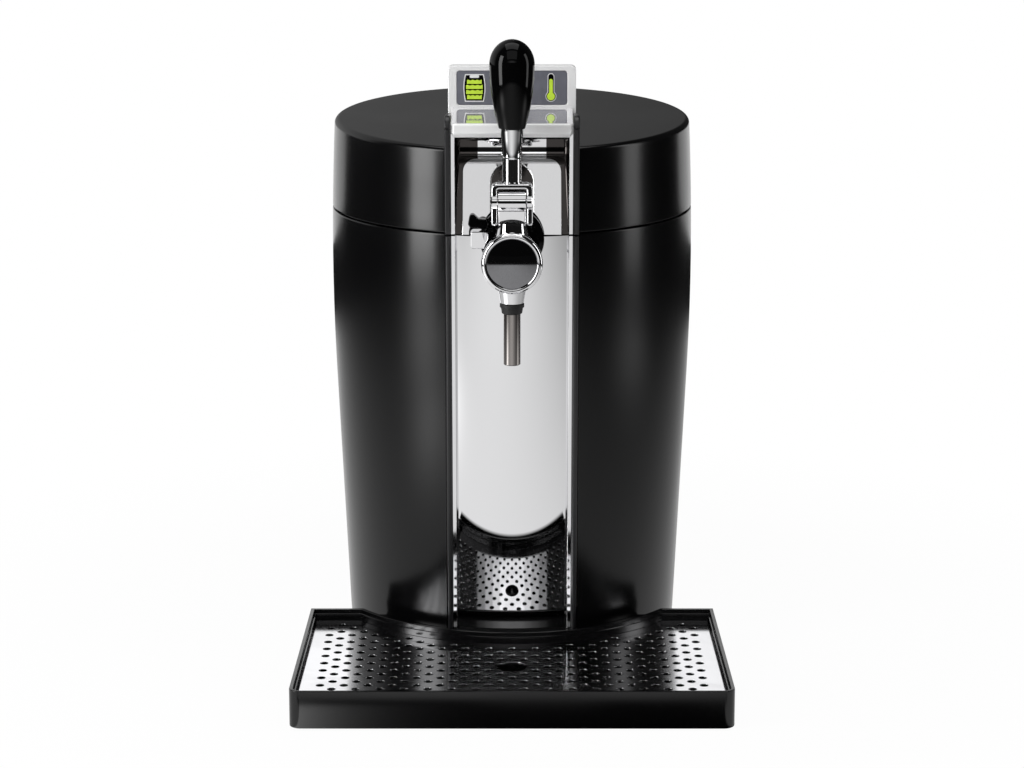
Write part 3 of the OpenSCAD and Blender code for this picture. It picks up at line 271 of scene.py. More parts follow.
class Surfaces:
    """The shared surface effects: one node group for each grain, but foam has the moulded one."""

    def __init__(self) -> None:
        """Builds the groups."""
        moulded = self._moulded()
        self.groups = {Grain.MOULDED: moulded, Grain.FOAMED: moulded, Grain.POLISHED: self._handling(),
                       Grain.BRUSHED: self._brush()}

    @staticmethod
    def _noise(tree: Tree, scale: float, detail: float) -> bpy.types.Node:
        """Adds a noise texture on Object coordinates.

        Args:
            tree: Group or material tree.
            scale: Scale of the noise, per metre.
            detail: Octaves.

        Returns:
            The noise node.
        """
        place = tree.nodes.new("ShaderNodeTexCoord")
        noise = add_node(tree, "ShaderNodeTexNoise", {"Scale": scale, "Detail": detail})
        tree.links.new(place.outputs["Object"], noise.inputs["Vector"])
        return noise

    @staticmethod
    def spread(tree: Tree, source: Socket, low: float, high: float, target: Socket) -> None:
        """Feeds a socket with a 0 to 1 value, mapped on to a range.

        Args:
            tree: Tree that the node goes in.
            source: Value to map.
            low: Result at 0.3.
            high: Result at 0.7.
            target: Socket to feed.
        """
        node = add_node(tree, "ShaderNodeMapRange",
                        {"From Min": 0.3, "From Max": 0.7, "To Min": low, "To Max": high})
        tree.links.new(source, node.inputs["Value"])
        tree.links.new(node.outputs["Result"], target)

    def _moulded(self) -> Tree:
        """Fine moulded texture: a height, and a mask that varies its gloss."""
        tree = new_group("moulded_grain", {"Scale": 900.0, "Mottle": 8.0},
                         {"Height": "NodeSocketFloat", "Mask": "NodeSocketFloat"})
        fine, broad = self._noise(tree, 900.0, 3.0), self._noise(tree, 8.0, 2.0)
        tree.links.new(tree.nodes["in"].outputs["Scale"], fine.inputs["Scale"])
        tree.links.new(tree.nodes["in"].outputs["Mottle"], broad.inputs["Scale"])
        tree.links.new(fine.outputs["Fac"], tree.nodes["out"].inputs["Height"])
        self.spread(tree, broad.outputs["Fac"], 0.0, 1.0, tree.nodes["out"].inputs["Mask"])
        return tree

    def _handling(self) -> Tree:
        """Faint marks of handling and wiping on polished faces: a mask."""
        tree = new_group("handling_marks", {"Scale": 30.0}, {"Mask": "NodeSocketFloat"})
        marks = self._noise(tree, 30.0, 5.0)
        marks.inputs["Distortion"].default_value = 1.4
        tree.links.new(tree.nodes["in"].outputs["Scale"], marks.inputs["Scale"])
        self.spread(tree, marks.outputs["Fac"], 0.0, 1.0, tree.nodes["out"].inputs["Mask"])
        return tree

    def _brush(self) -> Tree:
        """Fine lines along the piece, as drawn tube and sheet have: a height and a mask."""
        tree = new_group("drawn_lines", {"Across": 1600.0, "Along": 18.0},
                         {"Height": "NodeSocketFloat", "Mask": "NodeSocketFloat"})
        place = tree.nodes.new("ShaderNodeTexCoord")
        stretch = tree.nodes.new("ShaderNodeVectorMath")
        stretch.operation = "MULTIPLY"
        lengths = tree.nodes.new("ShaderNodeCombineXYZ")
        for key, source in (("X", "Across"), ("Y", "Across"), ("Z", "Along")):
            tree.links.new(tree.nodes["in"].outputs[source], lengths.inputs[key])
        tree.links.new(place.outputs["Object"], stretch.inputs[0])
        tree.links.new(lengths.outputs["Vector"], stretch.inputs[1])
        lines = add_node(tree, "ShaderNodeTexNoise", {"Scale": 1.0, "Detail": 2.0})
        tree.links.new(stretch.outputs["Vector"], lines.inputs["Vector"])
        tree.links.new(lines.outputs["Fac"], tree.nodes["out"].inputs["Height"])
        self.spread(tree, lines.outputs["Fac"], 0.0, 1.0, tree.nodes["out"].inputs["Mask"])
        return tree


@dataclass(frozen=True)
class Finish:
    """One procedural material: relief is a depth in millimetres, tint how much its marks darken it."""

    name: str
    colour: Triple
    roughness: float
    metallic: float = 0.0
    ior: float = 1.46
    grain: Grain = Grain.MOULDED
    scale: float = 900.0
    relief: float = 0.0
    vary: float = 0.04
    tint: float = 0.12
    glow: float = 0.0

    def make(self, surfaces: Surfaces) -> bpy.types.Material:
        """Builds the material.

        Args:
            surfaces: The shared node groups.

        Returns:
            The new material.
        """
        material = bpy.data.materials.new(self.name)
        material.use_nodes = True
        tree = material.node_tree
        shader = tree.nodes["Principled BSDF"]
        shader.inputs["Metallic"].default_value = self.metallic
        shader.inputs["IOR"].default_value = self.ior
        group = tree.nodes.new("ShaderNodeGroup")
        group.node_tree = surfaces.groups[self.grain]
        group.inputs["Across" if self.grain is Grain.BRUSHED else "Scale"].default_value = self.scale
        low, high = self.roughness - self.vary / 2, self.roughness + self.vary / 2
        Surfaces.spread(tree, group.outputs["Mask"], low, high, shader.inputs["Roughness"])
        blend = tree.nodes.new("ShaderNodeMix")
        blend.data_type = "RGBA"
        blend.inputs["A"].default_value = (*self.colour, 1.0)
        blend.inputs["B"].default_value = (*(c * (1 - self.tint) for c in self.colour), 1.0)
        tree.links.new(group.outputs["Mask"], blend.inputs["Factor"])
        tree.links.new(blend.outputs["Result"], shader.inputs["Base Color"])
        if self.glow:
            shader.inputs["Emission Strength"].default_value = self.glow
            tree.links.new(blend.outputs["Result"], shader.inputs["Emission Color"])
        if self.relief:
            bump = tree.nodes.new("ShaderNodeBump")
            bump.inputs["Distance"].default_value = self.relief / 1000
            tree.links.new(group.outputs["Height"], bump.inputs["Height"])
            tree.links.new(bump.outputs["Normal"], shader.inputs["Normal"])
        return material


FINISHES: tuple[Finish, ...] = (
    Finish("shell_black", (0.0016, 0.0016, 0.0018), 0.19, ior=1.38, relief=0.008, scale=1400),
    Finish("rail_grey", (0.008, 0.008, 0.009), 0.30, ior=1.5, relief=0.006, scale=1400),
    Finish("inner_black", (0.016, 0.016, 0.017), 0.42, relief=0.01),
    Finish("tray_black", (0.0014, 0.0014, 0.0016), 0.17, ior=1.5, relief=0.0015, vary=0.05),
    Finish("gloss_black", (0.0015, 0.0015, 0.0016), 0.045, ior=1.24, grain=Grain.POLISHED, vary=0.02),
    Finish("lens_dark", (0.24, 0.24, 0.25), 0.05, metallic=1.0, grain=Grain.POLISHED, vary=0.02),
    # A darker copy of chrome: painted shade for the niche's corners, sides and arch recess
    Finish("shaded_chrome", (0.055, 0.050, 0.048), 0.10, metallic=1.0, grain=Grain.POLISHED, vary=0.03),
    Finish("drawn_steel", (0.36, 0.335, 0.32), 0.09, metallic=1.0, grain=Grain.BRUSHED, vary=0.04, tint=0.08),
    Finish("shelf_steel", (0.86, 0.86, 0.88), 0.06, metallic=0.72, grain=Grain.POLISHED, vary=0.02,
           tint=0.02),
    Finish("chrome", (0.84, 0.84, 0.85), 0.045, metallic=1.0, grain=Grain.POLISHED, vary=0.03, tint=0.03),
    Finish("satin_chrome", (0.93, 0.93, 0.93), 0.30, metallic=0.25, grain=Grain.POLISHED, vary=0.03,
           tint=0.02),
    Finish("mirror_steel", (0.88, 0.88, 0.89), 0.03, metallic=1.0, grain=Grain.POLISHED, scale=6,
           vary=0.02, tint=0.02),
    Finish("steel", (0.72, 0.72, 0.73), 0.14, metallic=1.0, grain=Grain.BRUSHED, vary=0.08, tint=0.08),
    Finish("grid_steel", (0.80, 0.80, 0.82), 0.11, metallic=1.0, grain=Grain.POLISHED, scale=14,
           vary=0.05, tint=0.06),
    Finish("aluminium", (0.70, 0.71, 0.72), 0.32, metallic=1.0, relief=0.01, vary=0.1),
    Finish("rubber", (0.010, 0.010, 0.010), 0.55, relief=0.02, scale=1200, vary=0.08),
    Finish("foam", (0.74, 0.70, 0.56), 0.85, grain=Grain.FOAMED, relief=0.15, scale=420, tint=0.2),
    Finish("ceramic", (0.80, 0.80, 0.77), 0.5, relief=0.01),
    Finish("circuit_green", (0.03, 0.19, 0.08), 0.35, relief=0.01, tint=0.3),
    Finish("core_iron", (0.16, 0.13, 0.10), 0.55, relief=0.05, scale=300, tint=0.3),
    Finish("smoked_window", (0.155, 0.158, 0.185), 0.10, ior=1.5, grain=Grain.POLISHED, scale=60, tint=0.18),
    Finish("symbol_green", (0.44, 0.62, 0.045), 0.3, grain=Grain.POLISHED, scale=200, glow=0.25),
    Finish("symbol_white", (0.78, 0.78, 0.78), 0.3, grain=Grain.POLISHED, scale=200),
    Finish("clear_hose", (0.72, 0.71, 0.66), 0.28, ior=1.4, relief=0.01),
    Finish("white_plastic", (0.76, 0.76, 0.73), 0.35, relief=0.01),
)


# --- workshop -----------------------------------------------------------------------------


def at(x: float, y: float, z: float) -> Vector:
    """Turns millimetres about the well's axis into metres in the row frame."""
    return Vector((x, y + AXIS_Y, z)) / 1000


def deselect() -> None:
    """Leaves object mode with nothing selected."""
    if bpy.context.object and bpy.context.object.mode != "OBJECT":
        bpy.ops.object.mode_set(mode="OBJECT")
    bpy.ops.object.select_all(action="DESELECT")


def pick(obj: Obj) -> None:
    """Makes one object the active and only selected one."""
    deselect()
    obj.select_set(True)
    bpy.context.view_layer.objects.active = obj


def loft(name: str, rings: Sequence[Sequence[Vector]], loop: bool = False) -> Obj:
    """Extrudes a ring of vertices through a run of places.

    Args:
        name: Name of the piece.
        rings: Places of the vertices, ring by ring, each with the same count.
        loop: Whether the last ring is the first again; otherwise both are filled.

    Returns:
        The piece, closed, with its faces outwards.
    """
    deselect()
    bpy.ops.mesh.primitive_circle_add(vertices=len(rings[0]), radius=0.01)
    obj = bpy.context.object
    obj.name = obj.data.name = name
    bpy.ops.object.mode_set(mode="EDIT")
    bpy.ops.mesh.select_all(action="SELECT")
    mesh = bmesh.from_edit_mesh(obj.data)
    seat, row = (mesh.verts.layers.int.new(key) for key in ("seat", "row"))
    mesh.verts.ensure_lookup_table()
    for k, vert in enumerate(mesh.verts):
        vert[seat], vert.co = k, rings[0][k]
    for number, ring in enumerate(rings[1:], 1):
        bpy.ops.mesh.extrude_region_move()
        mesh = bmesh.from_edit_mesh(obj.data)
        seat, row = (mesh.verts.layers.int[key] for key in ("seat", "row"))
        for vert in mesh.verts:
            if vert.select:
                vert.co, vert[row] = ring[vert[seat]], number
    if not loop:
        bpy.ops.mesh.edge_face_add()
        bpy.ops.mesh.select_all(action="DESELECT")
        mesh = bmesh.from_edit_mesh(obj.data)
        row = mesh.verts.layers.int["row"]
        for edge in mesh.edges:
            if edge.verts[0][row] == 0 and edge.verts[1][row] == 0:
                edge.select_set(True)
        bmesh.update_edit_mesh(obj.data)
        bpy.ops.mesh.edge_face_add()
    bpy.ops.mesh.select_all(action="SELECT")
    bpy.ops.mesh.remove_doubles(threshold=WELD)
    bpy.ops.mesh.normals_make_consistent(inside=False)
    bpy.ops.object.mode_set(mode="OBJECT")
    for key in ("seat", "row"):
        obj.data.attributes.remove(obj.data.attributes[key])
    bpy.ops.object.transform_apply(location=True, rotation=True, scale=True)
    return obj


def turned(name: str, profile: Sequence[Point2], axis: Axis = Axis.Z,
           centre: Point2 = (0.0, 0.0), steps: int = 96, loop: bool = False) -> Obj:
    """Turns a profile about an axis.

    Args:
        name: Name of the piece.
        profile: Radius and distance along the axis of each ring.
        axis: Axis to turn about.
        centre: The other two coordinates of the axis: X and Y, X and Z, or Y and Z.
        steps: Number of faces round.
        loop: Whether the profile closes on itself.

    Returns:
        The piece.
    """
    a, b = centre

    def place(r: float, along: float, turn: float) -> Vector:
        """Place of one vertex, by its radius, its distance along and its turn."""
        u, v = a + max(r, 0.004) * math.cos(turn), b + max(r, 0.004) * math.sin(turn)
        spots = {Axis.Z: (u, v, along), Axis.Y: (u, along, v), Axis.X: (along, u, v)}
        return at(*spots[axis])

    turns = [2 * math.pi * i / steps for i in range(steps)]
    rings = [[place(r, along, turn) for turn in turns] for r, along in profile]
    return loft(name, rings, loop=loop)


def drawn(name: str, outline: Sequence[Point2], low: float, high: float,
          axis: Axis = Axis.Z, lean: float = 0.0) -> Obj:
    """Draws an outline along an axis.

    Args:
        name: Name of the piece.
        outline: Points in the other two coordinates: X and Y, X and Z, or Y and Z.
        low: Start along the axis.
        high: End along the axis.
        axis: Axis to draw along.
        lean: Shift in Y for each millimetre of height, on an upright piece.

    Returns:
        The piece.
    """

    def place(p: Point2, along: float) -> Vector:
        """Place of one point of the outline."""
        spots = {Axis.Z: (p[0], p[1] + lean * (along - low), along), Axis.Y: (p[0], along, p[1]),
                 Axis.X: (along, p[0], p[1])}
        return at(*spots[axis])

    return loft(name, [[place(p, along) for p in outline] for along in (low, high)])


def block(name: str, low: Sequence[float], high: Sequence[float]) -> Obj:
    """Makes a square-edged block between two corners, for cutting and joining.

    Args:
        name: Name of the piece.
        low: Lowest corner.
        high: Highest corner.

    Returns:
        The piece.
    """
    corners = [(low[0], low[1]), (high[0], low[1]), (high[0], high[1]), (low[0], high[1])]
    return drawn(name, corners, low[2], high[2])


def apply(obj: Obj, kind: str, **settings: object) -> Obj:
    """Adds a modifier with its settings and applies it."""
    pick(obj)
    modifier = obj.modifiers.new(kind.lower(), kind)
    for key, value in settings.items():
        setattr(modifier, key, value)
    bpy.ops.object.modifier_apply(modifier=modifier.name)
    return obj


def cut(obj: Obj, tools: Sequence[Obj]) -> None:
    """Cuts a piece with other pieces, which are then removed.

    Args:
        obj: Piece to cut.
        tools: Pieces to cut it with.
    """
    for tool in tools:
        apply(obj, "BOOLEAN", operation="DIFFERENCE", object=tool, solver="EXACT")
        bpy.data.objects.remove(tool)


def join(name: str, pieces: Sequence[Obj]) -> Obj:
    """Joins pieces into one object."""
    deselect()
    for piece in pieces:
        piece.select_set(True)
    bpy.context.view_layer.objects.active = pieces[0]
    bpy.ops.object.join()
    pieces[0].name = pieces[0].data.name = name
    return pieces[0]


def soften(obj: Obj, width: float, segments: int = 3, angle: float = 30.0) -> Obj:
    """Rounds a piece's hard edges.

    Args:
        obj: The piece.
        width: Width of the rounding in millimetres.
        segments: Faces across it.
        angle: Least angle between faces that counts as an edge.

    Returns:
        The piece.
    """
    return apply(obj, "BEVEL", width=width / 1000, segments=segments, limit_method="ANGLE",
                 angle_limit=math.radians(angle), use_clamp_overlap=False)


@dataclass
class Shop:
    """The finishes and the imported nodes, and what takes them up."""

    materials: dict[str, bpy.types.Material]
    nodes: dict[str, Obj]

    def copy_of(self, node: str, name: str) -> Obj:
        """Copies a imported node's mesh, merged and with its flat faces whole again.

        Args:
            node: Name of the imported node.
            name: Name of the new piece.

        Returns:
            The copy.
        """
        source = self.nodes[node]
        obj = bpy.data.objects.new(name, source.data.copy())
        obj.data.name = name
        bpy.context.scene.collection.objects.link(obj)
        pick(obj)
        if obj.data.has_custom_normals:
            bpy.ops.mesh.customdata_custom_splitnormals_clear()
        bpy.ops.object.mode_set(mode="EDIT")
        bpy.ops.mesh.select_all(action="SELECT")
        bpy.ops.mesh.remove_doubles(threshold=WELD)
        bpy.ops.mesh.dissolve_limited(angle_limit=math.radians(0.5))
        bpy.ops.object.mode_set(mode="OBJECT")
        return obj

    def hand_over(self, obj: Obj, finish: str, body: str, *nodes: str, slot: str | None = None) -> None:
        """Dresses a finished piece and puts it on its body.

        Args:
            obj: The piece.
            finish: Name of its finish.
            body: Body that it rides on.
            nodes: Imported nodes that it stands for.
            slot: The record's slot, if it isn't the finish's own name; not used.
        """
        pick(obj)
        bpy.ops.object.shade_smooth_by_angle(angle=math.radians(SMOOTH_BELOW))
        apply(obj, "WEIGHTED_NORMAL", weight=100, keep_sharp=True)
        obj.data.materials.clear()
        obj.data.materials.append(self.materials[finish])
        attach(obj, body)
        if nodes:
            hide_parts(*nodes)
        LOG.info("%s: %d faces, %s, on %s", obj.name, len(obj.data.polygons), finish, body)


# --- sub-assemblies -----------------------------------------------------------------------


@dataclass
class BodyShell:
    """The barrel housing, its base and what its front column is made of."""

    shop: Shop
    foot_z: float = 7.1
    shank_clear: float = 11.0
    window_half: float = 53.0
    window_z: Point2 = (147.0, 253.0)
    plate_half: float = 45.0
    plate_behind: Point2 = (2.2, 5.1)
    pad_x: Point2 = (-76.0, 76.0)
    pad_y: Point2 = (-80.0, 178.0)

    def build(self) -> None:
        """Makes every piece."""
        self._shell()
        self._rails()
        self._beads()
        self._panel()
        self._base()

    def _shell(self) -> None:
        """The barrel, with the slot for the column and a window for the cooling unit."""
        top, low, r = COLUMN.top_z, self.foot_z, BARREL.radius
        heights = [low + 1.2 + (top - low - 2.4) * i / 18 for i in range(19)]
        outer = [(r(low) - 0.5, low), (r(low), low + 0.5), *((r(z), z) for z in heights),
                 (r(top), top - 0.8), (r(top) - 0.25, top - 0.2), (r(top) - 0.8, top)]
        inner = [(r(z) - BARREL.wall, z) for z in (top, 200.0, 100.0, low)]
        shell = turned("barrel_shell", [*outer, *inner, outer[0]], steps=BARREL.steps, loop=True)
        slot = block("cut", (-COLUMN.slot_half, -300, 0), (COLUMN.slot_half, 0, 400))
        sill, lintel = self.window_z
        window = block("cut", (-self.window_half, 0, sill), (self.window_half, 300, lintel))
        cut(shell, [slot, window])
        self.shop.hand_over(shell, "shell_black", "housing", "drum_shell")

    def _shank_slot(self) -> Obj:
        """Cutter for the open-topped slot that the tap's shank drops into."""
        r = self.shank_clear
        outline = [(-r, 360.0), *arc(0, SHANK_Z, r, 180, 360, 16), (r, 360.0)]
        return drawn("cut", outline, -300, 0, Axis.Y)

    def _upright(self, name: str, outline: Sequence[Point2]) -> Obj:
        """Draws a plan outline up the leaning column.

        Args:
            name: Name of the piece.
            outline: X, and distance behind the column's face.

        Returns:
            The piece.
        """
        z0, z1 = COLUMN.foot_z + SEAT, COLUMN.top_z
        plan = [(x, COLUMN.y(z0, behind)) for x, behind in outline]
        return drawn(name, plan, z0, z1, lean=-math.tan(math.radians(COLUMN.lean)))

    def _rails(self) -> None:
        """The two side rails and the plate that joins them behind the panel."""
        c, r = COLUMN, 2.0
        front, back = c.rail_face, c.rail_face + c.rail_depth
        pieces = []
        for side in (-1, 1):
            x0, x1 = sorted((side * c.rail_in, side * c.rail_out))
            outline = [*arc(x0 + r, front + r, r, 180, 270, 8), *arc(x1 - r, front + r, r, 270, 360, 8),
                       (x1, back), (x0, back)]
            pieces.append(self._upright("rail", outline))
        face, rear = (c.fall + behind for behind in self.plate_behind)
        half = self.plate_half
        plate = self._upright("plate", [(-half, face), (half, face), (half, rear), (-half, rear)])
        frame = join("column_rails", [*pieces, plate])
        cut(frame, [self._shank_slot()])
        self.shop.hand_over(frame, "rail_grey", "housing", "column_frame")

    def _beads(self) -> None:
        """The bright beads between the rails and the panel."""
        c, edge = COLUMN, 0.35
        r, back = c.bead_w / 2, c.fall + 1.9
        face, side_x = c.bead_face + edge, r - edge
        pieces = []
        for side in (-1, 1):
            x = side * (c.rail_in - SEAT - r)
            outline = [*arc(x - side_x, face, edge, 180, 270, 6), *arc(x + side_x, face, edge, 270, 360, 6),
                       (x + r, back), (x - r, back)]
            pieces.append(self._upright("bead", outline))
        beads = join("column_beads_polished", pieces)
        self.shop.hand_over(beads, "chrome", "housing", "column_beads")

    def _panel(self) -> None:
        """The crowned mirror panel."""
        c = COLUMN
        half = math.degrees(math.asin(c.half / c.crown_r))
        front = arc(0, c.crown_r, c.crown_r, 270 - half, 270 + half, 48)
        back = arc(0, c.crown_r, c.crown_r - 1.9, 270 + half, 270 - half, 24)
        panel = self._upright("mirror_panel", [*front, *back])
        cut(panel, [self._shank_slot()])
        self.shop.hand_over(panel, "mirror_steel", "housing", "column_panel")

    def _base(self) -> None:
        """The base pan with the glossy toe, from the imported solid, and its feet."""
        base = self.shop.copy_of("base_plate", "base_pan")
        soften(base, 0.35, 2, 40)
        self.shop.hand_over(base, "tray_black", "housing", "base_plate", slot="shell_black")
        profile = [(4.6, 0.0), (9.4, 0.0), (10.0, 0.3), (10.7, 1.0), (11, 1.8), (11, 4.8), (2.1, 4.8),
                   (2.1, 2.2), (4.6, 2.2), (4.6, 0.0)]
        pads = [turned("pad", profile, centre=(x, y), steps=48, loop=True)
                for x in self.pad_x for y in self.pad_y]
        self.shop.hand_over(join("foot_pads", pads), "rubber", "housing", "rubber_feet")


@dataclass
class RearHousing:
    """The cooling unit's housing, its grille and mains fittings, and the lid's hinge."""

    shop: Shop

    def build(self) -> None:
        """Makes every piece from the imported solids, with its edges rounded."""
        rounded_nodes = {
            "rear_housing": ("cooler_housing", 0.6, "shell_black", "housing"),
            "rear_grille": ("cooler_grille", 0.35, "inner_black", "housing"),
            "power_inlet": ("mains_inlet", 0.5, "inner_black", "housing"),
            "switch_body": ("switch_frame", 0.5, "inner_black", "housing"),
            "switch_rocker": ("switch_rocker_key", 0.4, "gloss_black", "switch"),
            "hinge_brackets": ("hinge_brackets_moulded", 0.5, "inner_black", "housing"),
            "hinge_arms": ("hinge_arms_moulded", 0.5, "inner_black", "lid"),
        }
        for node, (name, width, finish, body) in rounded_nodes.items():
            piece = self.shop.copy_of(node, name)
            soften(piece, width, 2, 50)
            self.shop.hand_over(piece, finish, body, node)


@dataclass
class Lid:
    """The lid shell with its cheeks, niche, nose and display."""

    shop: Shop
    low_z: float = 329.0
    top_z: float = 396.5
    tilt: float = 2.24
    tilt_run: float = 50.0
    edge_r: float = 4.0
    pod_back: float = -79.0
    nose_z: float = 404.0
    shelf_z: float = 412.7
    nose_reach: float = 145.0
    bezel_reach: float = 87.0
    bezel_top: float = 445.5
    bezel_half: float = 47.0
    window_half: Point2 = (40.5, 12.5)
    niche_lean: float = 25.0
    niche_r: float = 15.7
    niche_corner_r: float = 4.0
    niche_mid: float = 25.0
    sheet: float = 2.0
    lip: float = 3.4
    shelf_rear_z: float = 414.7
    nose_top_z: float = 410.8
    plate_inset: float = 5.0
    plate_r: float = 10.0
    arch_r: float = 15.4
    collar_clear: float = 23.7
    hood_half: float = 44.0
    hood_depth: float = 44.0
    keg_x: float = -27.6
    gauge_x: float = 28.6

    @property
    def window_z(self) -> float:
        """Height of the middle of the display window."""
        return (self.shelf_z + self.bezel_top) / 2

    def top_at(self, y: float) -> float:
        """Height of the sloping top at a Y."""
        tilt = math.radians(self.tilt)
        return SEAM_Z + (self.top_z - SEAM_Z) / math.cos(tilt) + y * math.tan(tilt)

    def build(self) -> None:
        """Makes every piece."""
        self._shell()
        self._cheeks()
        self._niche()
        self._nose()
        self._bezel()
        self._symbols()
        self._cover()

    def _shell(self) -> None:
        """The lid's outer shell, round at its foot and sloping at its top."""
        r, top, edge = BARREL.radius, self.top_z, self.edge_r
        rim = r(top - edge)
        heights = [self.low_z + 1 + (top - edge - self.low_z - 1) * i / 5 for i in range(6)]
        outer = [(r(self.low_z) - 0.8, self.low_z), (r(self.low_z) - 0.2, self.low_z + 0.3),
                 *((r(z), z) for z in heights), *arc(rim - edge, top - edge, edge, 12, 90, 8),
                 *((x, top) for x in (120.0, 90.0, 60.0, 30.0, 0.0))]
        inner = [(x, top - BARREL.wall) for x in (0.0, 60.0, rim - edge)]
        inner += [(r(z) - BARREL.wall, z) for z in (top - edge - 1, 360.0, self.low_z)]
        shell = turned("lid_dome_shell", [*outer, *inner, outer[0]], steps=BARREL.steps, loop=True)
        pivot = at(0, 0, SEAM_Z)
        for vert in shell.data.vertices:
            share = min(1.0, max(0.0, (vert.co.z * 1000 - self.low_z - 1) / self.tilt_run))
            turn = math.radians(self.tilt) * share
            y, z = vert.co.y - pivot.y, vert.co.z - pivot.z
            vert.co.y = pivot.y + y * math.cos(turn) - z * math.sin(turn)
            vert.co.z = pivot.z + y * math.sin(turn) + z * math.cos(turn)
        half = COLUMN.slot_half
        slot = block("cut", (-half, -300, 300), (half, self.pod_back, 440))
        cut(shell, [slot])
        self.shop.hand_over(shell, "shell_black", "lid", "lid_shell")

    def _cheeks(self) -> None:
        """The dark cheeks that carry the rails on over the lid and round the nose."""
        c, top, r = COLUMN, self.shelf_z + 3.3, 9.0
        front, back = c.y(top, c.rail_face), -self.bezel_reach - SEAT
        outline = [(c.y(self.low_z, c.rail_face), self.low_z), (c.y(top - r, c.rail_face), top - r),
                   *arc(front + r, top - r, r, 180, 90, 10), (back, top - 5.5), (back, self.top_at(back) - 6),
                   (c.y(self.low_z, c.rail_face + c.rail_depth), self.low_z)]
        pieces = []
        for side in (-1, 1):
            low, high = sorted((side * c.rail_in, side * c.rail_out))
            pieces.append(soften(drawn("cheek", outline, low, high, Axis.X), 1.1, 3))
        cheeks = join("nose_cheeks", pieces)
        self.shop.hand_over(cheeks, "rail_grey", "lid", "front_cheeks")

    def _niche_curve(self, out: float) -> list[Point2]:
        """The niche's wall in Y and Z, moved outwards: up the lean and round under the nose."""
        lean, r = math.radians(self.niche_lean), self.niche_r
        foot = COLUMN.y(self.low_z, COLUMN.bead_face + 0.8)
        turn_z = self.nose_z - r * (1 + math.sin(lean))
        centre = foot + (turn_z - self.low_z) * math.tan(lean) - r * math.cos(lean)
        return [(foot + out / math.cos(lean), self.low_z),
                *arc(centre, self.nose_z - r, r + out, -self.niche_lean, 90, 28)]

    def _niche_walls(self, half: float) -> list[Obj]:
        """The niche's wall, its corners rounded more the higher they are.

        Args:
            half: Half of its width.

        Returns:
            Its middle, then its left and right parts.
        """
        inner, outer = self._niche_curve(0.0), self._niche_curve(self.sheet)
        steps, lean = len(inner) - 2, self.niche_lean
        turns = [-lean, *(-lean + (90 + lean) * i / steps for i in range(steps + 1))]
        radii = [0.6] + [self.niche_corner_r] * (steps + 1)
        flat = {x: [at(x, y, z) for y, z in (*inner, *reversed(outer))]
                for x in (-self.niche_mid, self.niche_mid)}
        walls = [loft("wall", [flat[-self.niche_mid], flat[self.niche_mid]])]
        for side in (-1, 1):
            rings = []
            for degrees in range(90, -1, -15):
                narrow, out = 1 - sind(degrees), 1 - cosd(degrees)
                ring = [at(side * (half - r * narrow), y - r * out * cosd(turn),
                           z - r * out * sind(turn)) for (y, z), turn, r in zip(inner, turns, radii)]
                rings.append(ring + [at(side * (half - radii[-1] * narrow), y, z)
                                     for y, z in reversed(outer)])
            rings.append(flat[side * self.niche_mid])
            walls.append(loft("wall", rings[::-side]))
        return walls

    def _collar_hole(self) -> Obj:
        """Cutter that leaves room for the tap's collar."""
        r = self.collar_clear
        return turned("cut", [(r, -300), (r, 0)], Axis.Y, (0, SHANK_Z), 64)

    def _niche(self) -> None:
        """The chrome niche behind the tap, its rounded corners and sides in a darker chrome copy that is
        painted shade.
        """
        c, outer = COLUMN, self._niche_curve(self.sheet)
        half = c.rail_in - SEAT - c.bead_w
        middle, *sides = self._niche_walls(half)
        pieces, top, strip = [middle], self.nose_z - SEAT, 1.6
        ends = [(c.y(self.low_z, c.bead_face), self.low_z), (c.y(top, c.bead_face), top)]
        behind = [(y + strip, z) for y, z in ends]
        side = [*behind, (outer[-1][0], top), *((max(y, behind[0][0] + 0.4), z) for y, z in reversed(outer))]
        for low in (-half - c.bead_w, half):
            piece = drawn("edge", [*ends, *reversed(behind)], low, low + c.bead_w, Axis.X)
            pieces.append(soften(piece, 0.35, 3, 35))
            sides.append(drawn("side", side, low, low + c.bead_w, Axis.X))
        # The niche's corners and sides take the darker chrome copy, which is painted shade
        self.shop.hand_over(join("niche_sides", sides), "shaded_chrome", "lid", slot="chrome")
        niche = join("tap_niche_chrome", pieces)
        cut(niche, [self._collar_hole()])
        self.shop.hand_over(niche, "chrome", "lid", "tap_niche")
        self._plate(half - self.plate_inset)

    def _plate(self, half: float) -> None:
        """The raised plate on the niche's wall, and the recess under its arch, in a darker chrome copy that
        is painted shade.

        Both are drawn flat and then leant back on to the wall.

        Args:
            half: Half of the plate's width.
        """
        curve = self._niche_curve(0.0)
        length = (curve[1][1] - self.low_z) / cosd(self.niche_lean) - 1
        shape = rounded(-half, -20, half, length, self.plate_r, 8)
        plate = drawn("plate", shape, -1.2, 0.3, Axis.Y)
        reach, r = length - 3, self.arch_r
        arch = [*arc(0, reach - r, r, 0, 180, 24), (-r, -30), (r, -30)]
        cut(plate, [drawn("cut", arch, -5, 5, Axis.Y)])
        soften(plate, 0.7, 3)
        inside = [(x * 0.99, z) for x, z in arch]
        recess = drawn("niche_recess", inside, -0.2, 0.3, Axis.Y)
        plate.name = plate.data.name = "niche_plate"
        lean, foot = math.radians(self.niche_lean), curve[0][0]
        # The recess under the arch takes the darker chrome copy, which is painted shade
        for piece, finish in ((plate, "chrome"), (recess, "shaded_chrome")):
            for vert in piece.data.vertices:
                y, z = vert.co.y * 1000 - AXIS_Y, vert.co.z * 1000
                vert.co = at(vert.co.x * 1000, foot + y * math.cos(lean) + z * math.sin(lean),
                             self.low_z - y * math.sin(lean) + z * math.cos(lean))
            floor = block("cut", (-60, -200, 300), (60, 0, self.low_z))
            cut(piece, [floor, self._collar_hole()])
            self.shop.hand_over(piece, finish, "lid", slot="chrome")

